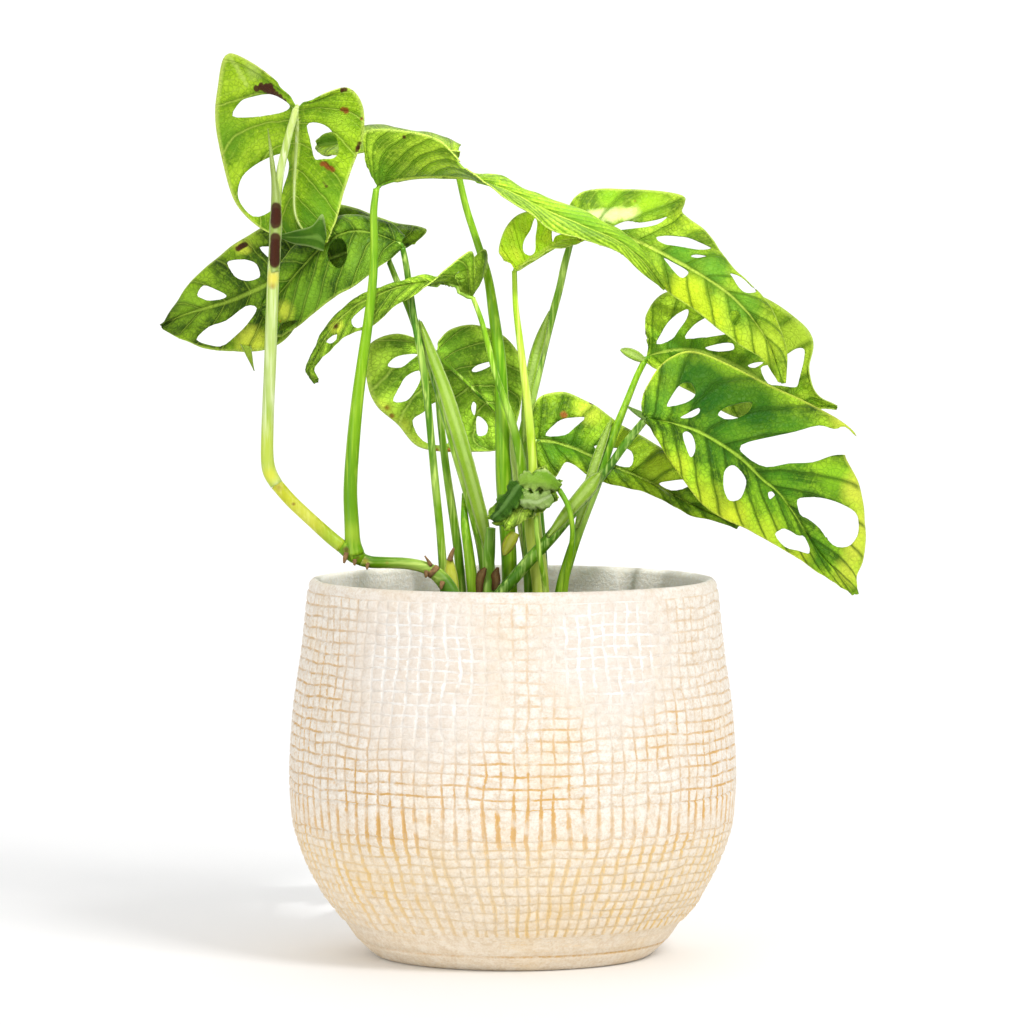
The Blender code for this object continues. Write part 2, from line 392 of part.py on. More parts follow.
def smooth_row(rows, t):
    """The point at t of a smooth curve through rows, where whole numbers of t are the rows."""
    last = len(rows) - 1
    i = min(max(int(math.floor(t)), 0), last - 1)
    f = t - i
    before, start, end, after = (rows[min(max(j, 0), last)] for j in (i - 1, i, i + 1, i + 2))
    return 0.5 * (
        2 * start
        + (end - before) * f
        + (2 * before - 5 * start + 4 * end - after) * f**2
        + (3 * start - before - 3 * end + after) * f**3
    )


def turn_profile(name, outline, steps, material, collection):
    """A solid of revolution about Z from an outline of (radius, height) that starts and ends on the axis."""
    mesh = bpy.data.meshes.new(name)
    edges = [(i, i + 1) for i in range(len(outline) - 1)]
    mesh.from_pydata([(radius, 0.0, height) for radius, height in outline], edges, [])
    obj = add_object(name, mesh, material, collection)
    screw = obj.modifiers.new("turn", "SCREW")
    screw.steps = screw.render_steps = steps
    screw.use_merge_vertices = True
    screw.merge_threshold = 0.00005
    return obj


def build_pot(collection):
    glaze = make_material("cream_stoneware", (0.86, 0.80, 0.70), 0.75)
    outside = [(radius * MM, height * MM) for radius, height in reversed(POT_PROFILE)]
    inside = [
        (radius * MM - POT_WALL, height * MM)
        for radius, height in POT_PROFILE
        if height * MM > POT_FLOOR + 0.003
    ]
    outline = (
        [(0.0, POT_FLOOR), (44 * MM, POT_FLOOR)]
        + inside
        + [(RIM_TOP_RADIUS - 1.6 * MM, POT_HEIGHT), (RIM_TOP_RADIUS, POT_HEIGHT)]
        + outside
        + [(0.0, 0.0)]
    )
    return turn_profile("pot", outline, POT_STEPS, glaze, collection)


def build_potting_mix(collection):
    mix = make_material("potting_mix", (0.05, 0.035, 0.025), 0.95)
    wall = POT_WALL + FIT_GAP + 0.4 * MM
    side = [
        (radius * MM - wall, height * MM)
        for radius, height in POT_PROFILE
        if POT_FLOOR + 0.003 < height * MM < MIX_TOP - 0.003
    ]
    top_radius = 68.0 * MM - FIT_GAP
    outline = (
        [(0.0, MIX_TOP), (30 * MM, MIX_TOP), (top_radius, MIX_TOP - MIX_MOUND)]
        + side[::-1]
        + [(44 * MM, POT_FLOOR + FIT_GAP), (0.0, POT_FLOOR + FIT_GAP)]
    )
    return turn_profile("potting_mix", outline, POT_STEPS, mix, collection)


def build_stalk(name, colour, route, collection):
    """A tapering round stalk along a smooth curve through the measured route."""
    rows = [np.array(row, float) for row in route]
    length = sum(np.linalg.norm((b - a)[:2]) for a, b in zip(rows, rows[1:]))
    count = max(len(rows), int(length / 11) + 1)
    samples = [smooth_row(rows, t) for t in np.linspace(0, len(rows) - 1, count)]
    places = [in_space(x, z, near) for x, z, near, _ in samples]
    radii = [row[3] for row in samples]
    if route[0][1] == FOOT:
        lean = (places[1] - places[0]).normalized()
        places[0].z = MIX_TOP + FIT_GAP + math.hypot(lean.x, lean.y) * radii[0] * MM
    curve = bpy.data.curves.new(name, "CURVE")
    curve.dimensions = "3D"
    curve.bevel_depth = MM
    curve.bevel_resolution = 2
    curve.use_fill_caps = True
    spline = curve.splines.new("POLY")
    spline.points.add(count - 1)
    for point, place, radius in zip(spline.points, places, radii):
        point.co = (*place, 1.0)
        point.radius = radius
    return add_object(name, curve, make_material(name, colour, 0.5), collection)


class Blade:
    """The curved sheet of a leaf, with t along it in stations and s across it from -1 to +1."""

    def __init__(self, stations, camber):
        self.rows = [np.array(row, float).reshape(9) for row in stations]
        self.last = len(stations) - 1
        self.camber = camber
        mids = np.array([row[:3] for row in self.rows])
        self.pitch = np.linalg.norm(np.diff(mids, axis=0), axis=1).mean()
        self.half_width = np.mean([np.linalg.norm(row[3:6] - row[:3]) for row in self.rows])

    def measured(self, t, s):
        """(x, z, near) at t, s."""
        row = smooth_row(self.rows, t)
        mid = row[:3]
        margin = row[3:6] if s < 0 else row[6:9]
        part = abs(s)
        point = mid + (margin - mid) * part
        taper = math.sin(math.pi * min(max(t / self.last, 0.0), 1.0)) ** 0.5
        point[2] += self.camber * 4 * part * (1 - part) * taper
        return point

    def find(self, side, x, z):
        """The t and s of the sheet's point that is seen at the measured (x, z), on one side of the midrib."""
        target = np.array([x, z])
        tries = [
            (np.linalg.norm(self.measured(t, side * a)[:2] - target), t, a)
            for t in np.linspace(0, self.last, 4 * self.last + 1)
            for a in np.linspace(0, 1, 9)
        ]
        _, t, a = min(tries)
        step = 1e-3
        for _ in range(8):
            here = self.measured(t, side * a)[:2]
            along = (self.measured(t + step, side * a)[:2] - here) / step
            across = (self.measured(t, side * (a + step))[:2] - here) / step
            move = np.linalg.lstsq(np.column_stack([along, across]), target - here, rcond=None)[0]
            t = min(max(t + np.clip(move[0], -0.5, 0.5), 0.0), self.last)
            a = min(max(a + np.clip(move[1], -0.3, 0.3), 0.02), 1.0)
        return t, side * a

    def flat(self, t, s):
        """The place of t, s on the flat blank, in millimetres."""
        return t * self.pitch, s * self.half_width


def margin_line(blade, side, notches):
    """The (t, s) points along one margin from the base to the tip, with its notches cut in."""
    line = [(t, float(side)) for t in np.arange(0, blade.last + 0.25, 0.5)]
    for notch_side, outline in notches:
        if notch_side != side:
            continue
        cut = [blade.find(side, x, z) for x, z in outline]
        cut[0] = (cut[0][0], float(side))
        cut[-1] = (cut[-1][0], float(side))
        start, end = cut[0][0], cut[-1][0]
        line = (
            [p for p in line if p[0] < start - 0.05]
            + cut
            + [p for p in line if p[0] > end + 0.05]
        )
    return line


def blank_mesh(blade, holes, notches):
    """The flat blank: a filled 2D curve with its holes, scored by lines along and across it."""
    curve = bpy.data.curves.new("blank", "CURVE")
    curve.dimensions = "2D"
    curve.fill_mode = "BOTH"
    edge = margin_line(blade, -1, notches) + margin_line(blade, 1, notches)[::-1]
    outlines = [edge] + [[blade.find(side, x, z) for x, z in outline] for side, outline in holes]
    for outline in outlines:
        spline = curve.splines.new("POLY")
        spline.points.add(len(outline) - 1)
        for point, (t, s) in zip(spline.points, outline):
            point.co = (*blade.flat(t, s), 0.0, 1.0)
        spline.use_cyclic_u = True
    guide = bpy.data.objects.new("blank", curve)
    bpy.context.scene.collection.objects.link(guide)
    bpy.context.view_layer.update()
    mesh = bpy.data.meshes.new_from_object(guide.evaluated_get(bpy.context.evaluated_depsgraph_get()))
    bpy.data.objects.remove(guide, do_unlink=True)
    scored = bmesh.new()
    scored.from_mesh(mesh)
    bmesh.ops.remove_doubles(scored, verts=scored.verts, dist=0.001)
    lines = [((t * blade.pitch, 0, 0), (1, 0, 0)) for t in range(1, blade.last)]
    lines += [((0, s * blade.half_width, 0), (0, 1, 0)) for s in (-0.5, 0.0, 0.5)]
    for place, normal in lines:
        bmesh.ops.bisect_plane(
            scored,
            geom=scored.verts[:] + scored.edges[:] + scored.faces[:],
            dist=0.02,
            plane_co=place,
            plane_no=normal,
        )
    bmesh.ops.remove_doubles(scored, verts=scored.verts, dist=0.12)
    bmesh.ops.triangulate(scored, faces=scored.faces[:])
    bmesh.ops.dissolve_degenerate(scored, edges=scored.edges[:], dist=0.02)
    loose = [vert for vert in scored.verts if not vert.link_faces]
    bmesh.ops.delete(scored, geom=loose, context="VERTS")
    for vert in scored.verts:
        t = vert.co.x / blade.pitch
        s = vert.co.y / blade.half_width
        vert.co = in_space(*blade.measured(t, s))
    bmesh.ops.triangulate(scored, faces=scored.faces[:])
    bmesh.ops.recalc_face_normals(scored, faces=scored.faces[:])
    scored.to_mesh(mesh)
    scored.free()
    return mesh


def build_leaf(name, colour, camber, stations, holes, collection, notches=()):
    blade = Blade(stations, camber)
    mesh = blank_mesh(blade, holes, notches)
    mesh.name = name
    obj = add_object(name, mesh, make_material(name, colour, 0.45), collection)
    solid = obj.modifiers.new("thickness", "SOLIDIFY")
    solid.thickness = BLADE_THICKNESS
    solid.offset = 0.0
    return obj


def main():
    clear_scene()
    plant = bpy.data.collections.new("potted_swiss_cheese_vine")
    bpy.context.scene.collection.children.link(plant)
    build_pot(plant)
    build_potting_mix(plant)
    for name, (colour, route) in STALKS.items():
        build_stalk(name, colour, route, plant)
    for name, leaf in BLADES.items():
        build_leaf(name, collection=plant, **leaf)


main()
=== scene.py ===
"""A potted Swiss cheese vine in a net-patterned stoneware pot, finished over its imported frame.

Metres, +Z up. The origin is the middle of the pot's foot, and the photo's view is from -Y.
"""

import math
import random

import bmesh
import bpy
import numpy as np
from mathutils import Matrix, Vector, noise


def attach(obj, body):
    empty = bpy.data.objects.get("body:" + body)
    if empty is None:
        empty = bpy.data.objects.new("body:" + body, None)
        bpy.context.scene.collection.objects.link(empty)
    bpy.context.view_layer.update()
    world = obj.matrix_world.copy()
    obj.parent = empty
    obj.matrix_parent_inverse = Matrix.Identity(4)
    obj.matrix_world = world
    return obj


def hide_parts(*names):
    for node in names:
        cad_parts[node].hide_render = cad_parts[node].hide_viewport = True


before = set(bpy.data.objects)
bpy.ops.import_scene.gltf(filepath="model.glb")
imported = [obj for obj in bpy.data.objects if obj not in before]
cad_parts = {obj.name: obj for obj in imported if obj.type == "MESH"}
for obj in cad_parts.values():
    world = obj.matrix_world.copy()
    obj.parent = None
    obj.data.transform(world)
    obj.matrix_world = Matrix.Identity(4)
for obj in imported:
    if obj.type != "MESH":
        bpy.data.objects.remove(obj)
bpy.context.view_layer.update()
MM = 0.001
scene = bpy.context.scene

# Camera and studio. The photo was taken with a long lens from two metres away, a little above the leaves,
# on a seamless white sweep. A soft light stands high on the right, a low one fills the left, and one over the
# back of the sweep keeps it white. One narrow beam lights the leaves, and a second one the pot's mouth.
EYE = Vector((-0.25, -2020.0, 273.0)) * MM
EYE_TILT = 3.37
LENS = 204.7
SENSOR_WIDTH = 36
ROOM_LIGHT = 0.73
BEAM_WIDTH, MOUTH_WIDTH = math.radians(5.6), math.radians(4.2)
BEAM_EDGE = {"spot_blend": 0.7, "shadow_soft_size": 0.05}
SWEEP_SIZE = 8.0
SWEEP_START = 2.7
SWEEP_CURVE = 0.35
SWEEP_WHITE = (0.97, 0.97, 0.97, 1.0)
SWEEP_ROUGHNESS = 0.9

lens = bpy.data.cameras.new("camera")
lens.lens = LENS
lens.sensor_width = SENSOR_WIDTH
camera = bpy.data.objects.new("camera", lens)
camera.location = EYE
camera.rotation_euler = (math.radians(90 - EYE_TILT), 0, 0)
scene.collection.objects.link(camera)
scene.camera = camera
scene.view_settings.view_transform = "Standard"

world = bpy.data.worlds.new("studio")
world.use_nodes = True
world.node_tree.nodes["Background"].inputs["Color"].default_value = (1.0, 1.0, 1.0, 1.0)
world.node_tree.nodes["Background"].inputs["Strength"].default_value = ROOM_LIGHT
scene.world = world


def hang_light(name, kind, place, target, power, **settings):
    """A light of a kind at a place, turned to its target."""
    light = bpy.data.lights.new(name, kind)
    light.energy = power
    for setting, value in settings.items():
        setattr(light, setting, value)
    lamp = bpy.data.objects.new(name, light)
    lamp.location = place
    lamp.rotation_euler = (Vector(target) - Vector(place)).to_track_quat("-Z", "Y").to_euler()
    scene.collection.objects.link(lamp)


hang_light("key", "AREA", (0.9, -1.1, 1.3), (0, 0, 0.12), 15, size=0.5)
hang_light("fill", "AREA", (-1.3, -1.6, 0.22), (0, 0, 0.12), 8, size=0.5)
hang_light("backdrop", "AREA", (0, 2.3, 1.9), (0, 2.6, 0), 22, size=2.2)
hang_light("beam", "SPOT", (-0.5, -1.9, 1.2), (0, 0, 0.235), 54, spot_size=BEAM_WIDTH, **BEAM_EDGE)
hang_light("mouth_beam", "SPOT", (0, -0.9, 1.6), (0, 0.070, 0.132), 170, spot_size=MOUTH_WIDTH, **BEAM_EDGE)

sweep_mesh = bpy.data.meshes.new("sweep")
sweep = bmesh.new()
bmesh.ops.create_grid(sweep, x_segments=4, y_segments=60, size=SWEEP_SIZE / 2)
for vert in sweep.verts:
    rise = max(vert.co.y - SWEEP_START, 0.0)
    vert.co.z = SWEEP_CURVE * rise**2
sweep.to_mesh(sweep_mesh)
sweep.free()
for face in sweep_mesh.polygons:
    face.use_smooth = True
floor = bpy.data.objects.new("floor", sweep_mesh)
scene.collection.objects.link(floor)
paper = bpy.data.materials.new("white_sweep")
paper.use_nodes = True
paper.node_tree.nodes["Principled BSDF"].inputs["Base Color"].default_value = SWEEP_WHITE
paper.node_tree.nodes["Principled BSDF"].inputs["Roughness"].default_value = SWEEP_ROUGHNESS
sweep_mesh.materials.append(paper)

# Pot. A thick stoneware cover pot, thrown and turned, with a rounded rim and a plain foot. A coarse net was
# pressed into the soft wall, which left rows of small pads with grooves between them. The glaze is a matte
# cream, and a tan wash stays in the grooves.
# Outlines are (radius, height) in millimetres, and waves are (size, strength, seed).
WALL = [
    (46.5, 0.0), (49.0, 1.2), (54.0, 5.6), (58.8, 12.2), (65.1, 20.5), (70.3, 30.0), (74.1, 38.6),
    (76.4, 47.0), (77.3, 56.5), (77.3, 68.5), (75.9, 87.7), (73.4, 104.4), (71.5, 122.5), (70.7, 129.2),
]
RIM = [
    (71.0, 128.8), (70.6, 129.9), (69.8, 130.8), (68.9, 131.0), (68.0, 130.8), (67.2, 130.0), (66.9, 128.8),
]
FOOT_SIDE = [
    (0.0, 0.0), (46.5, 0.0), (48.0, 0.3), (50.2, 2.0), (52.6, 4.2), (53.6, 5.3), (53.5, 5.8), (54.6, 6.2),
    (56.6, 9.0),
]
WALL_TOP = 129.0
WALL_THICKNESS = 4.0
GLAZE_DEPTH = 2.2
POT_FLOOR = 7.0
NET_COLUMNS = 100
NET_TOP = 127.4
NET_FOOT = 13.0
NET_WAVES = ((14, 1.5, 3.0), (4, 0.8, 11.0))
NET_SEED = 5
NET_LEAN = 0.05
NET_LEAN_HEIGHT = 34.0
TALL_ROW = (47.5, 58.4)
UPPER_ROW = 3.77
LOWER_ROW = 3.05
GROOVE_WIDTH = 0.50
PAD_RISE = 0.48
PAD_SHOULDER = 0.45
PAD_CROWN = 0.12
CREAM = (0.74, 0.63, 0.50)
CREAM_LIGHT = (0.90, 0.85, 0.77)
GROOVE_WHITE = (0.97, 0.95, 0.91)
PINK_CREAM = (0.74, 0.65, 0.57)
TAN_WASH = (0.72, 0.43, 0.14)
GOLD_WASH = (0.84, 0.60, 0.27)
INSIDE_CREAM = (0.92, 0.86, 0.75)
INSIDE_LIGHT = (0.97, 0.95, 0.90)
INSIDE_LINES = (0.74, 0.69, 0.58)


def on_curve(before, start, end, after, f):
    """The point at the share f of the way from start to end, on a smooth curve through all four points."""
    return 0.5 * (
        2 * start
        + (end - before) * f
        + (2 * before - 5 * start + 4 * end - after) * f**2
        + (3 * start - before - 3 * end + after) * f**3
    )


def along_curve(rows, t):
    """The point at t of a smooth curve through rows, where whole numbers of t are the rows."""
    last = len(rows) - 1
    i = min(max(int(math.floor(t)), 0), last - 1)
    return on_curve(*(rows[min(max(j, 0), last)] for j in (i - 1, i, i + 1, i + 2)), t - i)


wall_rows = [np.array(row) for row in WALL]
wall_line = np.array([along_curve(wall_rows, t) for t in np.linspace(0, len(WALL) - 1, 400)])


def wall_radius(z):
    return float(np.interp(z, wall_line[:, 1], wall_line[:, 0]))


def net_heights():
    """The heights of the net's rows, from the foot up."""
    low = np.linspace(NET_FOOT, TALL_ROW[0], round((TALL_ROW[0] - NET_FOOT) / LOWER_ROW) + 1)
    high = np.linspace(TALL_ROW[1], NET_TOP, round((NET_TOP - TALL_ROW[1]) / UPPER_ROW) + 1)
    return [*low, *high]


def from_axis(point):
    """How far a point lies from the pot's middle line, in millimetres."""
    return math.hypot(point.x, point.y) / MM


def new_piece(name, shape, materials, body="root", smooth=True):
    """A finished bmesh as an object of the scene that rides on a body."""
    mesh = bpy.data.meshes.new(name)
    shape.to_mesh(mesh)
    shape.free()
    for face in mesh.polygons:
        face.use_smooth = smooth
    for material in materials:
        mesh.materials.append(material)
    piece = bpy.data.objects.new(name, mesh)
    scene.collection.objects.link(piece)
    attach(piece, body)
    return piece


def turned(shape, outline, steps):
    """Spins an open outline about Z."""
    row = [shape.verts.new((radius * MM, 0.0, height * MM)) for radius, height in outline]
    edges = [shape.edges.new(pair) for pair in zip(row, row[1:])]
    bmesh.ops.spin(
        shape, geom=row + edges, axis=(0, 0, 1), cent=(0, 0, 0), steps=steps, angle=2 * math.pi,
        use_merge=True,
    )
    bmesh.ops.remove_doubles(shape, verts=shape.verts, dist=0.00002)


def wander(point, size, strength, seed):
    """A smooth random shift of a point, with waves of the given size, both in millimetres."""
    return noise.noise_vector(point / (size * MM) + Vector((seed, seed, seed))) * strength * MM


inner = [(wall_radius(z) - WALL_THICKNESS, z) for z in np.linspace(124, 16, 28)]
inner += [(50.0, POT_FLOOR + 1.5), (44.0, POT_FLOOR), (0.0, POT_FLOOR)]
pot_shape = bmesh.new()
turned(pot_shape, FOOT_SIDE + [(wall_radius(z), z) for z in net_heights()] + RIM + inner, NET_COLUMNS)
cell_uv = pot_shape.loops.layers.uv.new("cell")
bmesh.ops.recalc_face_normals(pot_shape, faces=pot_shape.faces)
for face in pot_shape.faces:
    middle = face.calc_center_median()
    height = middle.z / MM
    if height > POT_FLOOR - 1 and from_axis(middle) < wall_radius(min(height, WALL_TOP)) - GLAZE_DEPTH:
        face.material_index = 1
net_verts = [
    vert for vert in pot_shape.verts
    if NET_FOOT - 0.1 < vert.co.z / MM < NET_TOP + 0.1
    and from_axis(vert.co) > wall_radius(vert.co.z / MM) - 0.5
]
net_set = set(net_verts)
net_faces = [face for face in pot_shape.faces if net_set.issuperset(face.verts)]
for face in pot_shape.faces:
    for loop in face.loops:
        loop[cell_uv].uv = (0.5, 0.5)
for face in net_faces:
    middle = face.calc_center_median()
    tall = TALL_ROW[0] < middle.z / MM < TALL_ROW[1]
    for loop in face.loops:
        aside = middle.x * loop.vert.co.y - middle.y * loop.vert.co.x
        level = 0.5 if tall else float(loop.vert.co.z > middle.z)
        loop[cell_uv].uv = (float(aside > 0), level)
noise.seed_set(NET_SEED)
for vert in net_verts:
    turn_angle = math.atan2(vert.co.y, vert.co.x)
    height = vert.co.z / MM
    radius = math.hypot(vert.co.x, vert.co.y)
    lean = NET_LEAN * max(0.0, (TALL_ROW[0] - height) / NET_LEAN_HEIGHT) * math.sin(3 * turn_angle + 1.0)
    drift = wander(vert.co, *NET_WAVES[0]) + wander(vert.co, *NET_WAVES[1])
    angle = turn_angle + lean + drift.x / radius
    inner_rows = NET_FOOT + 1 < height < NET_TOP - 1
    vert.co.x = (radius - 0.1 * MM) * math.cos(angle)
    vert.co.y = (radius - 0.1 * MM) * math.sin(angle)
    vert.co.z += drift.z * (0.75 if inner_rows else 0.3)
for width, rise in ((GROOVE_WIDTH, PAD_RISE), (PAD_SHOULDER, PAD_CROWN)):
    bmesh.ops.inset_individual(
        pot_shape, faces=net_faces, thickness=width * MM, depth=rise * MM, use_even_offset=True,
        use_interpolate=True, use_relative_offset=False,
    )


def feed(material, socket, value):
    """Joins a node's input to the socket in value, or sets it to a number or a colour."""
    if isinstance(value, bpy.types.NodeSocket):
        material.node_tree.links.new(value, socket)
    elif socket.type == "RGBA":
        socket.default_value = (*value, 1.0)
    else:
        socket.default_value = value


def add_node(material, kind, inputs, **settings):
    """A shader node with its settings made and its inputs fed."""
    node = material.node_tree.nodes.new("ShaderNode" + kind)
    for setting, value in settings.items():
        setattr(node, setting, value)
    for name, value in inputs.items():
        feed(material, node.inputs[name], value)
    return node


def shader_of(material):
    return material.node_tree.nodes["Principled BSDF"]


def new_material(name, roughness):
    """A material with a Principled shader, and the Object coordinates that its pattern reads."""
    material = bpy.data.materials.new(name)
    material.use_nodes = True
    shader_of(material).inputs["Roughness"].default_value = roughness
    return material, add_node(material, "TexCoord", {}).outputs["Object"]


def paint(material, colour):
    feed(material, shader_of(material).inputs["Base Color"], colour)


def add_noise(material, where, scale, detail=3.0, roughness=0.55, stretch=(1, 1, 1)):
    """The value of a noise pattern, with its scale in waves per metre."""
    placed = add_node(material, "Mapping", {"Scale": stretch, "Vector": where}).outputs["Vector"]
    inputs = {"Scale": scale, "Detail": detail, "Roughness": roughness, "Vector": placed}
    return add_node(material, "TexNoise", inputs).outputs["Fac"]


def between(material, value, low, high, to_low=0.0, to_high=1.0):
    """A value clipped and stretched from the range low..high."""
    inputs = {"From Min": low, "From Max": high, "To Min": to_low, "To Max": to_high, "Value": value}
    return add_node(material, "MapRange", inputs).outputs["Result"]


def combine(material, operation, *values):
    """A chain of Math nodes over sockets and numbers."""
    result = values[0]
    for value in values[1:]:
        result = add_node(material, "Math", {0: result, 1: value}, operation=operation).outputs["Value"]
    return result


def product(material, *values):
    return combine(material, "MULTIPLY", *values)


def total(material, *values):
    return combine(material, "ADD", *values)


def apart(material, value, middle):
    """How far a value lies from a middle one, either way."""
    return combine(material, "ABSOLUTE", combine(material, "SUBTRACT", value, middle), 0.0)


def blend_colours(material, amount, under, over):
    """Over laid on under by amount. Each colour is a socket or three numbers."""
    mix = add_node(material, "Mix", {"Factor": amount}, data_type="RGBA")
    for socket, colour in zip([socket for socket in mix.inputs if socket.type == "RGBA"], (under, over)):
        feed(material, socket, colour)
    return next(socket for socket in mix.outputs if socket.type == "RGBA")


def near_point(material, where, point, inner_radius, outer_radius):
    """1 within inner_radius of a point, falling to 0 at outer_radius. The point is a vector in metres."""
    gap = add_node(material, "VectorMath", {0: where, 1: point}, operation="DISTANCE").outputs["Value"]
    return between(material, gap, inner_radius, outer_radius, 1.0, 0.0)


def add_bump(material, height, distance, strength=1.0):
    bump = add_node(material, "Bump", {"Strength": strength, "Distance": distance, "Height": height})
    feed(material, shader_of(material).inputs["Normal"], bump.outputs["Normal"])


def split_axes(material, where):
    axes = add_node(material, "SeparateXYZ", {"Vector": where})
    return [axes.outputs[axis] for axis in "XYZ"]


def from_middle(material, share):
    """0 in the middle of a net cell and 1 on its groove."""
    return product(material, apart(material, share, 0.5), 2.0)


stoneware, where = new_material("cream_stoneware", 0.72)
height = split_axes(stoneware, where)[2]
cell = add_node(stoneware, "UVMap", {}, uv_map="cell").outputs["UV"]
cell_across, cell_up, _ = split_axes(stoneware, cell)

# The wash. It is widest in the upright grooves low down, strongest in the tall row, and nearly gone on the
# upper front, where the grooves are white.
ragged = add_noise(stoneware, where, 620, 4.0, 0.75)
low_down = between(stoneware, height, 0.062, 0.036)
tall_row = product(
    stoneware, between(stoneware, height, 0.044, 0.049), between(stoneware, height, 0.062, 0.057)
)
upper_front = combine(
    stoneware, "MAXIMUM",
    near_point(stoneware, where, (-0.032, -0.068, 0.104), 0.018, 0.040),
    near_point(stoneware, where, (0.034, -0.066, 0.112), 0.016, 0.034),
)
upright = total(
    stoneware, from_middle(stoneware, cell_across),
    total(
        stoneware, between(stoneware, low_down, 0.0, 1.0, 0.20, 0.42), product(stoneware, tall_row, 0.10),
        product(stoneware, upper_front, 0.06),
    ),
    between(stoneware, ragged, 0.2, 0.8, -0.22, 0.22),
)
upright = between(stoneware, upright, 0.98, 1.10)
upright_breaks = between(stoneware, add_noise(stoneware, where, 150, 3.0, 0.6), 0.36, 0.56, 0.15, 1.0)
level = total(stoneware, from_middle(stoneware, cell_up), between(stoneware, ragged, 0.2, 0.8, 0.08, 0.40))
level = between(stoneware, level, 0.98, 1.10)
level_breaks = product(
    stoneware,
    between(stoneware, add_noise(stoneware, where, 190, 3.0, stretch=(1, 1, 1.8)), 0.38, 0.56, 0.1, 1.0),
    between(stoneware, low_down, 0.0, 1.0, 1.0, 0.55),
)
scratches = apart(stoneware, add_noise(stoneware, where, 24, 3.0, 0.6, stretch=(1, 1, 22)), 0.5)
scratches = product(
    stoneware, between(stoneware, scratches, 0.020, 0.004), between(stoneware, ragged, 0.45, 0.65, 0.0, 0.7),
    between(stoneware, height, 0.1265, 0.1255, 0.0, 1.0),
)
in_groove = combine(
    stoneware, "MAXIMUM", product(stoneware, upright, upright_breaks),
    product(stoneware, level, level_breaks), scratches,
)
wash_patches = between(stoneware, add_noise(stoneware, where, 26, 2.0), 0.36, 0.62, 0.45, 1.0)
wash_kept = combine(stoneware, "SUBTRACT", 1.0, product(stoneware, upper_front, 0.93))
wash_height = between(stoneware, height, 0.122, 0.075, 0.62, 1.0)
wash = product(stoneware, in_groove, wash_patches, wash_kept, wash_height)
wash_colour = blend_colours(stoneware, low_down, TAN_WASH, GOLD_WASH)
wash_colour = blend_colours(stoneware, tall_row, wash_colour, TAN_WASH)

# The glaze. It is mealy and a little lumpy, warmer low down and pinker on the upper front, with a tan line
# round the turned foot.
grain = add_noise(stoneware, where, 1100, 4.0, 0.7)
lumps = add_noise(stoneware, where, 330, 4.0, 0.65)
mealy = total(stoneware, product(stoneware, grain, 0.5), product(stoneware, lumps, 0.5))
warmth = total(
    stoneware, between(stoneware, add_noise(stoneware, where, 40, 3.0), 0.50, 0.75, 0.0, 0.28),
    between(stoneware, low_down, 0.0, 1.0, 0.0, 0.22),
)
foot_line = product(
    stoneware, between(stoneware, apart(stoneware, height, 0.0056), 0.0006, 0.0002),
    between(stoneware, ragged, 0.35, 0.6),
    between(stoneware, add_noise(stoneware, where, 14, 2.0), 0.40, 0.60, 0.1, 0.9),
)
body_colour = CREAM
for amount, colour in (
    (between(stoneware, mealy, 0.40, 0.58), CREAM_LIGHT),
    (warmth, GOLD_WASH),
    (foot_line, TAN_WASH),
    (product(stoneware, upper_front, 0.55), PINK_CREAM),
    (product(stoneware, in_groove, upper_front), GROOVE_WHITE),
    (wash, wash_colour),
):
    body_colour = blend_colours(stoneware, amount, body_colour, colour)
paint(stoneware, body_colour)
turning = add_noise(stoneware, where, 30, 2.0, stretch=(1, 1, 30))
stoneware_grain = total(
    stoneware, grain, product(stoneware, lumps, 2.0),
    product(stoneware, turning, between(stoneware, height, 0.015, 0.011, 0.3, 1.6)),
)
add_bump(stoneware, stoneware_grain, 0.00035, 0.7)

inside_clay, where = new_material("pot_inside", 0.8)
speckle = between(inside_clay, add_noise(inside_clay, where, 900, 3.0, 0.7), 0.42, 0.60)
turning_lines = add_noise(inside_clay, where, 20, 2.0, stretch=(1, 1, 26))
clay_colour = blend_colours(inside_clay, speckle, INSIDE_CREAM, INSIDE_LIGHT)
line_amount = between(inside_clay, turning_lines, 0.45, 0.60, 0.0, 0.35)
paint(inside_clay, blend_colours(inside_clay, line_amount, clay_colour, INSIDE_LINES))
add_bump(inside_clay, total(inside_clay, speckle, turning_lines), 0.0003, 0.5)

pot = new_piece("pot_finished", pot_shape, [stoneware, inside_clay])
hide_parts("pot")

# Potting mix. A dark peat and bark mix, loosely heaped round the stalks a little below the rim.
MIX_TOP = 113.0
MIX_RADIUS = 67.4
MIX_SAG = 2.0
MIX_GAP = 5.0
MIX_FLOOR = 7.4
MIX_LUMPS = 380
LUMP_SIZES = (0.6, 1.6)
BARK_SHARE = 0.4


def mix_height(reach):
    """The height of the mix's heaped top at a distance from its middle."""
    return MIX_TOP - MIX_SAG * (reach / MIX_RADIUS) ** 2


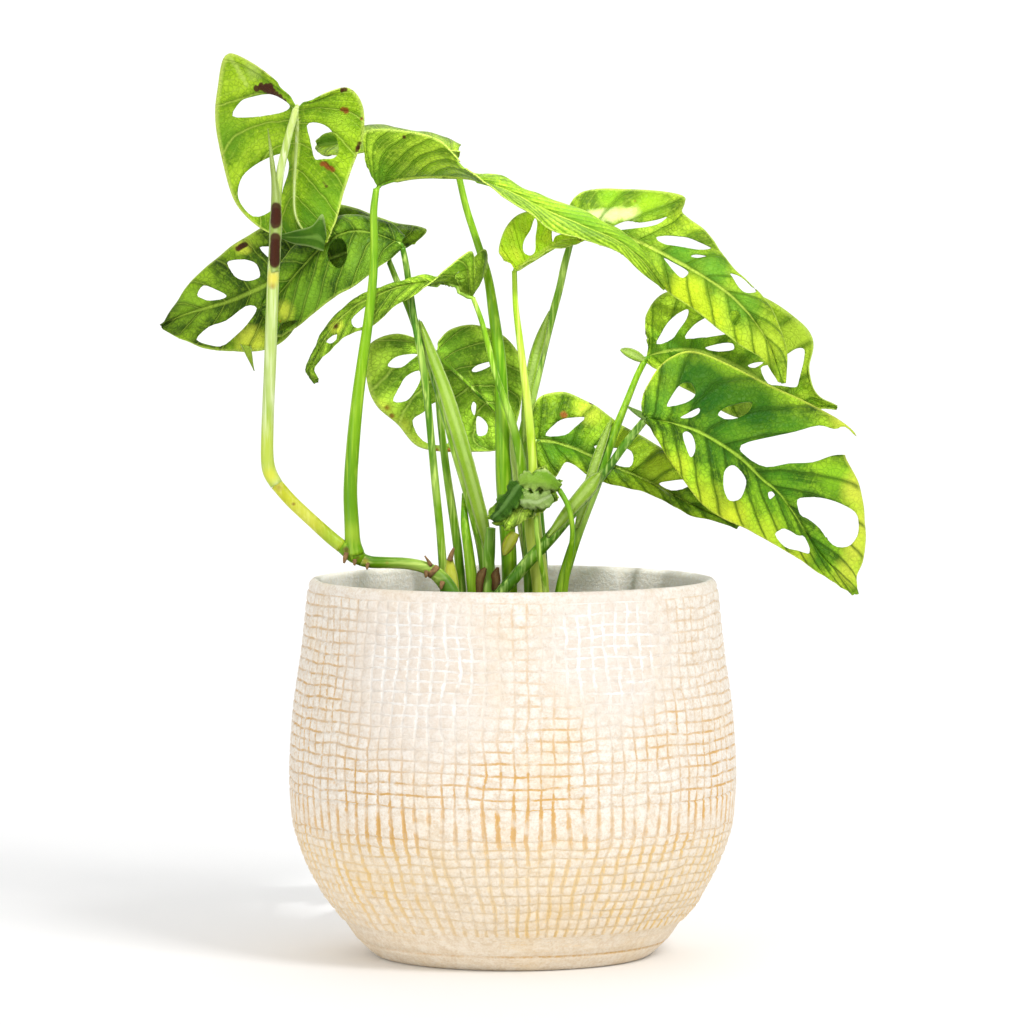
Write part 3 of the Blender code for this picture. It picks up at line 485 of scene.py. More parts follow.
mix_shape = bmesh.new()
mix_outline = [(0.0, MIX_TOP)] + [(reach, mix_height(reach)) for reach in np.linspace(3, MIX_RADIUS, 26)]
mix_outline += [(wall_radius(z) - MIX_GAP, z) for z in np.linspace(104, 18, 10)]
mix_outline += [(44.0, MIX_FLOOR), (0.0, MIX_FLOOR)]
turned(mix_shape, mix_outline, 88)
bmesh.ops.recalc_face_normals(mix_shape, faces=mix_shape.faces)
for vert in mix_shape.verts:
    if vert.co.z / MM > MIX_TOP - 2.2 and from_axis(vert.co) < MIX_RADIUS - 0.5:
        heap = noise.noise(vert.co / (9 * MM)) * 0.5 + noise.noise(vert.co / (3 * MM)) * 0.45
        vert.co.z += (heap - 0.3) * MM
chance = random.Random(4)
for _ in range(MIX_LUMPS):
    reach = (MIX_RADIUS - 3) * math.sqrt(chance.random())
    around = chance.uniform(0, 2 * math.pi)
    size = chance.uniform(*LUMP_SIZES)
    turn = Matrix.Rotation(chance.uniform(0, 6), 4, "Z") @ Matrix.Rotation(chance.uniform(-0.6, 0.6), 4, "X")
    place = Vector((reach * math.cos(around), reach * math.sin(around), mix_height(reach) - 0.1)) * MM
    squash = Matrix.Diagonal((chance.uniform(0.9, 1.9), 1.0, 0.5, 1.0))
    lump = bmesh.ops.create_icosphere(
        mix_shape, subdivisions=1, radius=size * MM, matrix=Matrix.Translation(place) @ turn @ squash
    )
    bark = chance.random() < BARK_SHARE
    for face in {face for vert in lump["verts"] for face in vert.link_faces}:
        face.material_index = 1 if bark else 0
peat, where = new_material("peat", 0.95)
crumb = add_noise(peat, where, 700, 4.0, 0.7)
crumb_share = between(peat, crumb, 0.35, 0.7)
paint(peat, blend_colours(peat, crumb_share, (0.018, 0.012, 0.008), (0.085, 0.058, 0.036)))
add_bump(peat, crumb, 0.0009)
bark_chip, where = new_material("bark_chip", 0.85)
bark_lines = add_noise(bark_chip, where, 500, 3.0, stretch=(3, 1, 1))
paint(bark_chip, blend_colours(bark_chip, bark_lines, (0.07, 0.035, 0.018), (0.22, 0.12, 0.06)))
add_bump(bark_chip, bark_lines, 0.0005)
mix = new_piece("potting_mix_finished", mix_shape, [peat, bark_chip], smooth=False)
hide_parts("potting_mix")

# Stems and leaf stalks. Smooth, juicy green stalks, thicker at the foot, that stand in the mix and arch out
# to their leaves. One old stem lies over the rim on the left, and two leaves grow from its joint and its end.
# A route is (x, z, near, radius) in millimetres: x and z as seen on the upright plane through the pot's
# middle, and near how far in front of that plane the stalk lies on the same line of sight.
FOOT = 113.6
THINNEST = 0.3
STALKS = {
    "stem_runner": [
        (-17, FOOT, 10, 2.9), (-20.5, 124, 9, 2.9), (-24.5, 130.5, 8.5, 2.7), (-29.5, 134.3, 8, 2.2),
        (-36, 136.0, 8, 2.0), (-43, 136.4, 8.5, 2.0), (-49, 136.6, 9, 2.1), (-52.2, 137.4, 9.5, 2.3)],
    "stem_end": [
        (-59.9, 142.5, 10, 2.3), (-63.5, 145.4, 10, 2.3), (-70, 151.3, 11, 2.2),
        (-77, 157.9, 12, 2.2), (-81.8, 163.4, 12, 2.2)],
    "stem_joint": [
        (-53.0, 137.9, 9.5, 2.4), (-55.4, 139.2, 9.8, 2.8), (-59.2, 142.0, 10, 2.3)],
    "petiole_top_left": [
        (-82.4, 164.2, 12, 2.3), (-84.6, 168.5, 12, 2.4), (-85.3, 175, 13, 2.2), (-84.9, 190, 14, 2.1),
        (-84.2, 205, 15, 2.1), (-83.5, 225, 16, 2.1), (-82.6, 245, 17, 2.0), (-81.8, 261, 18, 1.6),
        (-80.5, 272, 19, 1.4), (-78, 283, 21, 1.3), (-75.9, 290.5, 22.5, 1.2), (-75.2, 293.4, 22.5, 1.1)],
    "petiole_long_arch": [
        (-54.9, 139.8, 9.8, 3.3), (-55.6, 143.5, 9.8, 2.8), (-55.9, 149, 10, 2.6), (-56.4, 162, 10, 2.4),
        (-55.4, 178, 11, 2.3), (-53.9, 193, 11.5, 2.1), (-51.9, 208, 12, 1.9), (-49.9, 222, 12.5, 1.7),
        (-48.4, 236, 13, 1.5), (-48, 248, 13, 1.4), (-48.2, 258, 13, 1.3), (-47.3, 265.7, 13, 1.1)],
    "petiole_left_under": [
        (-23, FOOT, -4, 1.5), (-24.3, 135, -4, 1.5), (-25.3, 148, -3, 1.4), (-26.8, 163, -2, 1.4),
        (-28.2, 178, 0, 1.3), (-29.3, 190, 1, 1.3), (-30.5, 200, 2, 1.3), (-32, 210, 2, 1.3),
        (-34, 220, 1.6, 1.2), (-35.5, 230, 1.5, 1.2), (-37, 240, 2.8, 1.1), (-38.1, 245.5, 4.2, 1.0)],
    "petiole_left_spotted": [
        (-7, FOOT, -3, 2.7), (-9.3, 138, -2, 2.8), (-11.5, 150, -1, 3.0), (-14.5, 162, 0, 3.1),
        (-18, 174, 1, 3.1), (-21.5, 187, 1, 3.0), (-25, 198, 0, 2.7), (-28.3, 207, -1, 2.2),
        (-32, 215, -2, 1.7), (-36, 225, -3, 1.3), (-40, 234, -5, 1.1), (-42.6, 240.4, -6, 1.0)],
    "petiole_inner_left": [
        (-16, FOOT, -10, 1.6), (-17.8, 128, -10, 1.6), (-19.2, 142, -9, 1.6), (-21.2, 156, -9, 1.5),
        (-22.7, 166, -9, 1.4), (-24.1, 177, -9, 1.3), (-25.3, 188, -10, 1.2), (-26, 198, -11, 1.1),
        (-25.8, 206.6, -12, 1.0)],
    "sheath_stub": [
        (-13, FOOT, 2.5, 2.0), (-14, 128, 2, 2.0), (-15.3, 140, 1.2, 1.8), (-16.6, 150, -1.5, 1.5),
        (-17, 160, -5.5, 0.7)],
    "petiole_edge_on": [
        (-1, FOOT, -9, 2.6), (-1.2, 135, -9, 2.7), (-2, 150, -9, 2.8), (-3, 165, -9, 2.9),
        (-3.4, 180, -9, 2.7), (-3.8, 195, -9, 2.3), (-4.6, 208, -9, 2.1), (-6.5, 222, -10, 1.9),
        (-8.7, 236, -12, 1.5), (-12.4, 248, -14, 1.3), (-16.2, 260, -15, 1.2), (-19.4, 274.0, -16.9, 1.1)],
    "petiole_small_curled": [
        (5.5, FOOT, -3, 1.5), (5.4, 135, -3, 1.6), (4.6, 152, -3, 1.7), (3.3, 168, -2, 1.8),
        (1.6, 178, -1, 1.6), (-0.8, 187, 0, 1.4), (-3.6, 195, 0, 1.2), (-6.4, 203.5, 0, 1.1),
        (-8.8, 213, 0, 1.0), (-11, 221, 0, 0.9), (-13.6, 228.0, 0.4, 0.8)],
    "petiole_young_yellow": [
        (10.5, FOOT, 4, 2.8), (9.5, 130, 4, 3.0), (8.2, 140, 4, 3.1), (7, 150, 4, 2.9),
        (7.2, 160, 4, 2.1), (7, 170, 4, 1.6), (6.1, 182, 4, 1.5), (4.8, 195, 4, 1.4),
        (3.5, 205, 4, 1.3), (2.3, 215, 4, 1.2), (1.0, 226, 4, 1.0), (0.6, 237.3, 4, 0.9)],
    "petiole_upper_right": [
        (6.5, FOOT, -11, 2.0), (5.6, 135, -11, 2.1), (4.4, 152, -11, 2.2), (3.4, 168, -11, 2.2),
        (3.8, 180, -10, 2.0), (6.2, 192, -9, 1.7), (8.4, 201, -8.5, 1.6), (11, 212, -8, 1.5),
        (14, 223.5, -7.5, 1.4), (16.3, 232, -7, 1.3), (18, 240, -6.5, 1.3), (20.0, 247.4, -6, 1.1)],
    "petiole_low_right": [
        (11.5, FOOT, -7.5, 1.4), (10.8, 135, -7.5, 1.4), (9.8, 150, -7, 1.3), (8.6, 163, -6.5, 1.2),
        (8, 172, -5.5, 1.1), (7.7, 176.9, -4.8, 1.0)],
    "petiole_right_pale": [
        (14.8, FOOT, 0, 2.0), (17, 128, 1, 2.0), (19.6, 137.5, 2, 1.9), (22.4, 146, 3, 1.8),
        (25.5, 155, 4, 2.0), (28.3, 162.5, 4.3, 2.1), (30.6, 169, 4, 2.0), (33.3, 176.5, 3, 1.7),
        (36.4, 184.5, 1, 1.4), (39.6, 192.5, -2, 1.2), (43, 201, -5, 1.1), (45.4, 205.9, -6, 1.1)],
    "petiole_right_large": [
        (-12, FOOT, 16, 2.0), (-4, 126, 15, 2.1), (0, 130.5, 14, 2.1), (6, 137.5, 13, 2.2),
        (13, 145, 13, 2.2), (20, 153.5, 13, 2.2), (26, 160.5, 13, 2.0), (30, 165.5, 13, 1.6),
        (34, 170.5, 14, 1.4), (38.3, 176.6, 15, 1.4), (42, 181.3, 16, 1.4), (45.3, 185.4, 16.8, 1.3)],
    "petiole_crumpled": [
        (17, FOOT, 10, 1.0), (18.6, 130, 13, 1.0), (20.2, 140, 16, 1.0), (20.8, 147, 18, 0.9),
        (20.2, 152.5, 18.5, 0.9), (18.7, 157.4, 18, 0.9), (16.4, 161.4, 17, 0.9)],
    "petiole_crumpled_side": [
        (12.5, FOOT, 14, 0.9), (11, 129, 18, 0.9), (9.7, 137, 19.5, 0.9), (8.6, 145, 19, 0.9),
        (8.1, 152.2, 18, 0.9)],
    "young_shoot": [
        (-8.4, FOOT, 8, 2.4), (-8.8, 127, 8, 2.6), (-8.6, 132, 8, 2.0), (-8.2, 140, 9, 2.1),
        (-7.6, 148, 10, 1.6)],
    "stem_stub": [
        (-20, FOOT, 1, 2.4), (-21, 126, 1, 2.5), (-21.5, 132, 1, 2.3), (-21.8, 137, 1, 1.2)],
}
# Each finish is the shaded, the middle and the lit colour of the stalk's skin.
STALK_SKINS = {
    "fresh": ((0.050, 0.17, 0.002), (0.19, 0.39, 0.006), (0.60, 0.78, 0.17)),
    "bright": ((0.09, 0.26, 0.001), (0.18, 0.38, 0.002), (0.36, 0.56, 0.04)),
    "pale": ((0.30, 0.45, 0.04), (0.51, 0.64, 0.17), (0.74, 0.82, 0.48)),
    "yellow": ((0.42, 0.46, 0.014), (0.56, 0.59, 0.035), (0.70, 0.73, 0.15)),
    "lime": ((0.26, 0.43, 0.010), (0.43, 0.58, 0.03), (0.66, 0.79, 0.19)),
    "deep": ((0.025, 0.10, 0.001), (0.10, 0.27, 0.005), (0.44, 0.64, 0.14)),
}
STALK_FINISHES = {
    "stem_runner": "fresh", "stem_end": "yellow", "stem_joint": "bright", "stem_stub": "yellow",
    "petiole_top_left": "pale", "petiole_long_arch": "bright", "petiole_left_under": "fresh",
    "petiole_left_spotted": "fresh", "petiole_inner_left": "fresh", "sheath_stub": "bright",
    "petiole_edge_on": "bright", "petiole_small_curled": "fresh", "petiole_young_yellow": "lime",
    "petiole_upper_right": "fresh", "petiole_low_right": "fresh", "petiole_right_pale": "bright",
    "petiole_right_large": "deep", "petiole_crumpled": "bright", "petiole_crumpled_side": "fresh",
    "young_shoot": "deep",
}
BARK_BROWN = (0.10, 0.035, 0.010)
SCAR_BROWN = (0.17, 0.045, 0.012)
# The stretch of the skin's pattern along the stalk, for one that stands and for one that lies.
UPRIGHT = (1, 1, 0.045)
LYING = (0.05, 1, 1)

def in_space(measured):
    """The places of measured points (x, z, near), slid from the plane y = 0 towards the eye by near."""
    x, z, near = np.atleast_2d(np.asarray(measured, float)).T
    slide = near * MM / -EYE.y
    return np.column_stack([x + (EYE.x / MM - x) * slide, -near, z + (EYE.z / MM - z) * slide]) * MM


def seen_at(x, z, near):
    return Vector(in_space((x, z, near))[0])


def ring_edges(ring):
    """The edges that join a ring of points to each other."""
    members = set(ring)
    around = dict.fromkeys(edge for vert in ring for edge in vert.link_edges)
    return [edge for edge in around if members.issuperset(edge.verts)]


def tube(shape, places, radii, sides=16, flatness=1.0, material_index=0):
    """A round tube along places, extruded ring by ring from a circle, with both ends closed."""
    faces_before = set(shape.faces)
    ring = bmesh.ops.create_circle(shape, cap_ends=True, segments=sides, radius=1.0)["verts"]
    previous = Matrix.Identity(4)
    last = len(places) - 1
    for i, (place, radius) in enumerate(zip(places, radii)):
        direction = (places[min(i + 1, last)] - places[max(i - 1, 0)]).normalized()
        side = direction.cross(Vector((0, 1, 0))).normalized()
        front = side.cross(direction)
        pose = Matrix((side, front, direction)).transposed().to_4x4()
        pose = Matrix.Translation(place) @ pose @ Matrix.Diagonal((radius, radius * flatness, radius, 1.0))
        if i:
            grown = bmesh.ops.extrude_edge_only(shape, edges=ring_edges(ring))
            ring = [item for item in grown["geom"] if isinstance(item, bmesh.types.BMVert)]
        bmesh.ops.transform(shape, matrix=pose @ previous.inverted(), verts=ring)
        previous = pose
    bmesh.ops.edgeloop_fill(shape, edges=ring_edges(ring))
    new_faces = [face for face in shape.faces if face not in faces_before]
    bmesh.ops.recalc_face_normals(shape, faces=new_faces)
    for face in new_faces:
        face.material_index = material_index


def stalk_line(route, step=1.5):
    """The places and radii along a stalk's route, every step millimetres."""
    rows = [np.array(row) for row in route]
    length = sum(np.linalg.norm((b - a)[:3]) for a, b in zip(rows, rows[1:]))
    samples = np.array([along_curve(rows, t) for t in np.linspace(0, len(rows) - 1, int(length / step) + 2)])
    places = [Vector(place) for place in in_space(samples[:, :3])]
    return places, [max(radius, THINNEST) * MM for radius in samples[:, 3]]


def shaken(material, where, scale, reach):
    """Coordinates shaken by noise, by up to reach in millimetres."""
    shake = add_node(material, "TexNoise", {"Scale": scale, "Vector": where}).outputs["Color"]
    inputs = {0: shake, 1: (2 * reach * MM,) * 3, 2: (-reach * MM,) * 3}
    shift = add_node(material, "VectorMath", inputs, operation="MULTIPLY_ADD").outputs["Vector"]
    return add_node(material, "VectorMath", {0: where, 1: shift}, operation="ADD").outputs["Vector"]


# Marks on the skin: the (x, z) of the place, the inner and outer radius in millimetres, the paint and its
# strength.
STALK_MARKS = {
    "petiole_top_left": [
        (-85.0, 167.0, 1.2, 4.0, (0.72, 0.70, 0.05), 0.8), (-84.6, 175.0, 4.0, 14.0, (0.55, 0.66, 0.06), 0.6),
        (-83.9, 231.5, 0.3, 1.6, SCAR_BROWN, 0.8), (-82.6, 236.5, 1.0, 4.0, (0.70, 0.60, 0.06), 0.8),
    ],
    "stem_end": [
        (-81.8, 163.0, 0.3, 1.8, (0.30, 0.16, 0.02), 0.6), (-78.2, 154.7, 0.3, 0.9, (0.25, 0.13, 0.02), 0.8),
        (-62.0, 144.5, 2.0, 8.0, (0.30, 0.52, 0.02), 0.6),
    ],
    "stem_joint": [(-58.2, 139.6, 0.6, 1.8, BARK_BROWN, 0.8), (-54.0, 138.2, 0.3, 1.3, BARK_BROWN, 0.6)],
    "stem_runner": [
        (-51.5, 136.6, 0.3, 1.8, (0.40, 0.30, 0.03), 0.7), (-44.0, 137.2, 0.2, 0.9, (0.35, 0.25, 0.03), 0.6),
        (-22.0, 127.5, 3.0, 6.0, (0.05, 0.18, 0.004), 0.85),
    ],
    "petiole_long_arch": [(-55.3, 147.0, 0.8, 5.0, (0.42, 0.60, 0.04), 0.6)],
    "petiole_young_yellow": [(8.6, 138.0, 5.0, 16.0, (0.62, 0.74, 0.12), 0.7)],
    "petiole_right_pale": [(26.0, 156.0, 5.0, 16.0, (0.42, 0.62, 0.12), 0.5)],
}

def streak(ends, inner_radius, outer_radius, colour, strength=0.95):
    """Close marks along a line of (x, z) places, as for a dry edge."""
    line = [np.array(place, float) for place in ends]
    marks = []
    for start, end in zip(line, line[1:]):
        count = max(int(np.linalg.norm(end - start) / (0.55 * outer_radius)), 1)
        steps = [start + (end - start) * i / count for i in range(count)]
        marks += [(*place, inner_radius, outer_radius, colour, strength) for place in steps]
    return marks


def patch_on(material, where, colour, patches, ragged=0.35):
    """Lays patches (place, inner and outer radius, paint, strength) on a colour, with a ragged edge."""
    moved = shaken(material, where, 420, ragged)
    for place, inner_radius, outer_radius, patch_colour, strength in patches:
        close = near_point(material, moved, place, inner_radius * MM, outer_radius * MM)
        colour = blend_colours(material, product(material, close, strength), colour, patch_colour)
    return colour


def stalk_skin(name, skin, patches=(), lie=UPRIGHT):
    """Stalk skin, with bands of painted shade, fine lengthwise streaks and small paler freckles in its lit
    colour as painted light, and any scars.
    """
    material, where = new_material(name, 0.38)
    shader_of(material).inputs["Specular IOR Level"].default_value = 0.22
    shade, middle, lit = STALK_SKINS[skin]
    streaks = add_noise(material, where, 900, 2.0, stretch=lie)
    bands = add_noise(material, where, 120, 3.0, stretch=lie)
    clouds = add_noise(material, where, 45, 2.0)
    # Painted shade in random bands, then painted light in the streaks and the cloudy freckles.
    colour = blend_colours(material, between(material, bands, 0.38, 0.62), shade, middle)
    colour = blend_colours(material, between(material, streaks, 0.48, 0.70, 0.0, 0.75), colour, lit)
    colour = blend_colours(material, between(material, clouds, 0.50, 0.75, 0.0, 0.45), colour, lit)
    if patches:
        colour = patch_on(material, where, colour, patches)
    paint(material, colour)
    add_bump(material, streaks, 0.00012, 0.5)
    return material


def mark_on_stalk(places, radii, mark):
    """A stalk's mark with its place moved on to the skin that faces the front."""
    x, z, *rest = mark
    i = min(range(len(places)), key=lambda i: (places[i] - seen_at(x, z, -places[i].y / MM)).length)
    return (places[i] + Vector((0, -radii[i], 0)), *rest)


for name, route in STALKS.items():
    places, radii = stalk_line(route)
    if route[0][1] == FOOT:
        places[0] = Vector((places[0].x, places[0].y, (MIX_TOP - 0.6) * MM))
    else:
        places[0] += (places[0] - places[1]).normalized() * 0.7 * MM
    places[-1] += (places[-1] - places[-2]).normalized() * 0.5 * MM
    stalk_shape = bmesh.new()
    tube(stalk_shape, places, radii, flatness=0.92)
    marks = [mark_on_stalk(places, radii, mark) for mark in STALK_MARKS.get(name, ())]
    lie = LYING if name == "stem_runner" else UPRIGHT
    skin = stalk_skin(name + "_skin", STALK_FINISHES[name], marks, lie)
    stalk = new_piece(name + "_finished", stalk_shape, [skin])
    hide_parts(name)

# Leaves. Thin leathery blades with holes grown right through them, joined to their stalks by a midrib that
# stands out on the underside. Each is cut as a flat blank with its holes, scored into small cells, bent to
# the measured midrib and margins, puckered along its side veins and given its thickness.
# A station is the midrib point and the two margin points beside it, as measured (x, z, near). The holes and
# notches are outlines of (x, z) places on one side of the midrib, -1 or 1. A skin is a deep, a middle and a
# lit colour, and the colour of the veins. The deep colour is laid on as painted shade and also darkens the
# net of fine veins, and the lit one is laid on as painted light and also colours the paler flecks.
BLADE_THICKNESS = 0.45
CELL = 1.3
RIB_STEPS = 46
RIB_TIP = 0.28
WIDE_PATCH = 3.0
DEAD_BROWN = (0.060, 0.018, 0.006)
RUST = (0.26, 0.07, 0.012)
YELLOWING = (0.66, 0.74, 0.06)


class Blade:
    """The curved sheet of a leaf, with t along it in stations and s across it from -1 to +1."""

    def __init__(self, stations, camber):
        self.rows = np.array([np.array(row, float).reshape(9) for row in stations])
        self.last = len(stations) - 1
        self.camber = camber
        mids = self.rows[:, :3]
        self.pitch = np.linalg.norm(np.diff(mids, axis=0), axis=1).mean()
        self.half_width = np.linalg.norm(self.rows[:, 3:6] - mids, axis=1).mean()

    def measured(self, t, s):
        """(x, z, near) at each t, s."""
        t, s = np.broadcast_arrays(np.atleast_1d(np.asarray(t, float)), np.asarray(s, float))
        i = np.clip(np.floor(t).astype(int), 0, self.last - 1)
        before, after = self.rows[np.maximum(i - 1, 0)], self.rows[np.minimum(i + 2, self.last)]
        row = on_curve(before, self.rows[i], self.rows[i + 1], after, (t - i)[:, None])
        part = np.abs(s)
        margin = np.where((s < 0)[:, None], row[:, 3:6], row[:, 6:9])
        point = row[:, :3] + (margin - row[:, :3]) * part[:, None]
        taper = np.sin(np.pi * np.clip(t / self.last, 0, 1)) ** 0.5
        point[:, 2] += self.camber * 4 * part * (1 - part) * taper
        return point

    def nearest(self, target, t_values, s_values):
        """The t, s pair whose point is seen closest to a measured (x, z)."""
        t, s = (grid.ravel() for grid in np.meshgrid(t_values, s_values))
        away = np.linalg.norm(self.measured(t, s)[:, :2] - target, axis=1)
        return t[away.argmin()], s[away.argmin()]

    def find(self, side, x, z):
        """The t and s of the sheet's point that is seen at the measured (x, z), on one side of the midrib."""
        target = np.array([x, z])
        t, s = self.nearest(target, np.linspace(0, self.last, 4 * self.last + 1), side * np.linspace(0, 1, 9))
        a = side * s
        step = 1e-3
        for _ in range(8):
            here = self.measured(t, side * a)[0, :2]
            along = (self.measured(t + step, side * a)[0, :2] - here) / step
            across = (self.measured(t, side * (a + step))[0, :2] - here) / step
            move = np.linalg.lstsq(np.column_stack([along, across]), target - here, rcond=None)[0]
            t = min(max(t + np.clip(move[0], -0.5, 0.5), 0.0), self.last)
            a = min(max(a + np.clip(move[1], -0.3, 0.3), 0.02), 1.0)
        return t, side * a

    def flat(self, t, s):
        """The place of t, s on the flat blank, in millimetres."""
        return t * self.pitch, s * self.half_width

    def mark(self, mark):
        """A mark (x, z, ...) with its place moved on to the sheet."""
        x, z, *rest = mark
        t_values = np.linspace(0, self.last, 12 * self.last + 1)
        t, s = self.nearest(np.array([x, z]), t_values, np.linspace(-1, 1, 49))
        return (Vector(in_space(self.measured(t, s))[0]), *rest)


def rounded(outline, closed=True):
    """A smooth line through the points of an outline, with three points for each of its own."""
    points = [np.array(point, float) for point in outline]
    if closed:
        points = points[-1:] + points + points[:2]
        return [tuple(along_curve(points, 1 + i / 3)) for i in range(3 * len(outline))]
    return [tuple(along_curve(points, i / 3)) for i in range(3 * (len(outline) - 1) + 1)]


def margin_line(blade, side, notches):
    """The (t, s) points along one margin from the base to the tip, with its notches cut in."""
    line = [(t, float(side)) for t in np.arange(0, blade.last + 0.1, 0.125)]
    for outline in (outline for notch_side, outline in notches if notch_side == side):
        cut = [blade.find(side, x, z) for x, z in rounded(outline, closed=False)]
        start, end = cut[0][0], cut[-1][0]
        cut[0], cut[-1] = (start, float(side)), (end, float(side))
        line = [p for p in line if p[0] < start - 0.05] + cut + [p for p in line if p[0] > end + 0.05]
    return line


def flat_blank(blade, holes, notches):
    """The flat blank as a bmesh in millimetres: outline and holes filled, then scored into small cells."""
    curve = bpy.data.curves.new("blank", "CURVE")
    curve.dimensions = "2D"
    curve.fill_mode = "BOTH"
    outlines = [margin_line(blade, -1, notches) + margin_line(blade, 1, notches)[-2:0:-1]]
    outlines += [[blade.find(side, x, z) for x, z in rounded(outline)] for side, outline in holes]
    for outline in outlines:
        spline = curve.splines.new("POLY")
        spline.points.add(len(outline) - 1)
        for point, (t, s) in zip(spline.points, outline):
            point.co = (*blade.flat(t, s), 0.0, 1.0)
        spline.use_cyclic_u = True
    guide = bpy.data.objects.new("blank", curve)
    scene.collection.objects.link(guide)
    bpy.context.view_layer.update()
    mesh = bpy.data.meshes.new_from_object(guide.evaluated_get(bpy.context.evaluated_depsgraph_get()))
    bpy.data.objects.remove(guide, do_unlink=True)
    blank = bmesh.new()
    blank.from_mesh(mesh)
    bpy.data.meshes.remove(mesh)
    bmesh.ops.remove_doubles(blank, verts=blank.verts, dist=0.02)
    columns = np.linspace(0, blade.last * blade.pitch, int(blade.last * blade.pitch / CELL) + 2)[1:-1]
    rows = blade.half_width * np.linspace(-1, 1, 2 * max(int(blade.half_width / CELL), 3) + 1)[1:-1]
    for place, normal in [((x, 0, 0), (1, 0, 0)) for x in columns] + [((0, y, 0), (0, 1, 0)) for y in rows]:
        bmesh.ops.bisect_plane(
            blank, geom=blank.verts[:] + blank.edges[:] + blank.faces[:], dist=0.02, plane_co=place,
            plane_no=normal,
        )
    inner_edges = [
        edge for edge in blank.edges
        if len(edge.link_faces) == 2
        and min(abs(columns - edge.verts[0].co.x)) + min(abs(columns - edge.verts[1].co.x)) > 0.05
        and min(abs(rows - edge.verts[0].co.y)) + min(abs(rows - edge.verts[1].co.y)) > 0.05
    ]
    bmesh.ops.dissolve_edges(blank, edges=inner_edges, use_verts=False)
    spare = [vert for vert in blank.verts if len(vert.link_edges) == 2 and not vert.is_boundary]
    bmesh.ops.dissolve_verts(blank, verts=spare)
    bmesh.ops.remove_doubles(blank, verts=blank.verts, dist=0.12)
    bmesh.ops.triangulate(blank, faces=[face for face in blank.faces if len(face.verts) > 4])
    bmesh.ops.dissolve_degenerate(blank, edges=blank.edges[:], dist=0.02)
    bmesh.ops.delete(blank, geom=[vert for vert in blank.verts if not vert.link_faces], context="VERTS")
    return blank


def on_sheet(blade, t, s):
    """The places of t, s in space, and the sheet's normals there, towards the front."""
    place = in_space(blade.measured(t, s))
    along = in_space(blade.measured(t + 0.02, s)) - in_space(blade.measured(t - 0.02, s))
    aside = in_space(blade.measured(t, s + 0.02)) - in_space(blade.measured(t, s - 0.02))
    normal = np.cross(along, aside)
    normal /= np.linalg.norm(normal, axis=1)[:, None] + 1e-12
    normal[normal[:, 1] > 0] *= -1
    return place, normal


def bend_blank(blank, blade, vein_gap, vein_slant, pucker, ripple, wave):
    """Moves the flat blank's points to their place, quilted between the side veins, and keeps its UVs."""
    x, y = np.array([vert.co[:2] for vert in blank.verts]).T
    t, s = x / blade.pitch, y / blade.half_width
    uv = blank.loops.layers.uv.new("blade")
    across = blank.verts.layers.float.new("across")
    for face in blank.faces:
        for loop in face.loops:
            loop[uv].uv = loop.vert.co[:2]
    place, normal = on_sheet(blade, t, s)
    bulge = 0.5 - 0.5 * np.cos(2 * np.pi * ((x - vein_slant * np.abs(y)) / vein_gap))
    away_from_rib = np.clip(np.abs(y) / 5, 0, 1) * np.clip((1 - np.abs(s)) * 4, 0, 1)
    height = pucker * (1.3 * bulge * away_from_rib - np.exp(-((y / 1.2) ** 2)))
    for i in range(len(x)):
        here = Vector((x[i], y[i], vein_gap * wave)) / wave
        rise = noise.noise(here) + 0.5 * noise.noise(here * 2.25)
        height[i] += ripple * rise * (0.35 + s[i] ** 2)
    place += normal * (height * MM)[:, None]
    for vert, point, share in zip(blank.verts, place, s):
        vert.co = point
        vert[across] = abs(share)


def thicken(sheet, thickness):
    """Gives a thin sheet its second skin, joined to the first along every edge. Thickness in millimetres."""
    bmesh.ops.recalc_face_normals(sheet, faces=sheet.faces)
    sheet.normal_update()
    shifts = {tuple(vert.co): vert.normal * -thickness * MM for vert in sheet.verts}
    second = bmesh.ops.extrude_face_region(sheet, geom=sheet.faces[:], use_keep_orig=True)["geom"]
    for vert in second:
        if isinstance(vert, bmesh.types.BMVert):
            vert.co += shifts[tuple(vert.co)]
    bmesh.ops.recalc_face_normals(sheet, faces=sheet.faces)


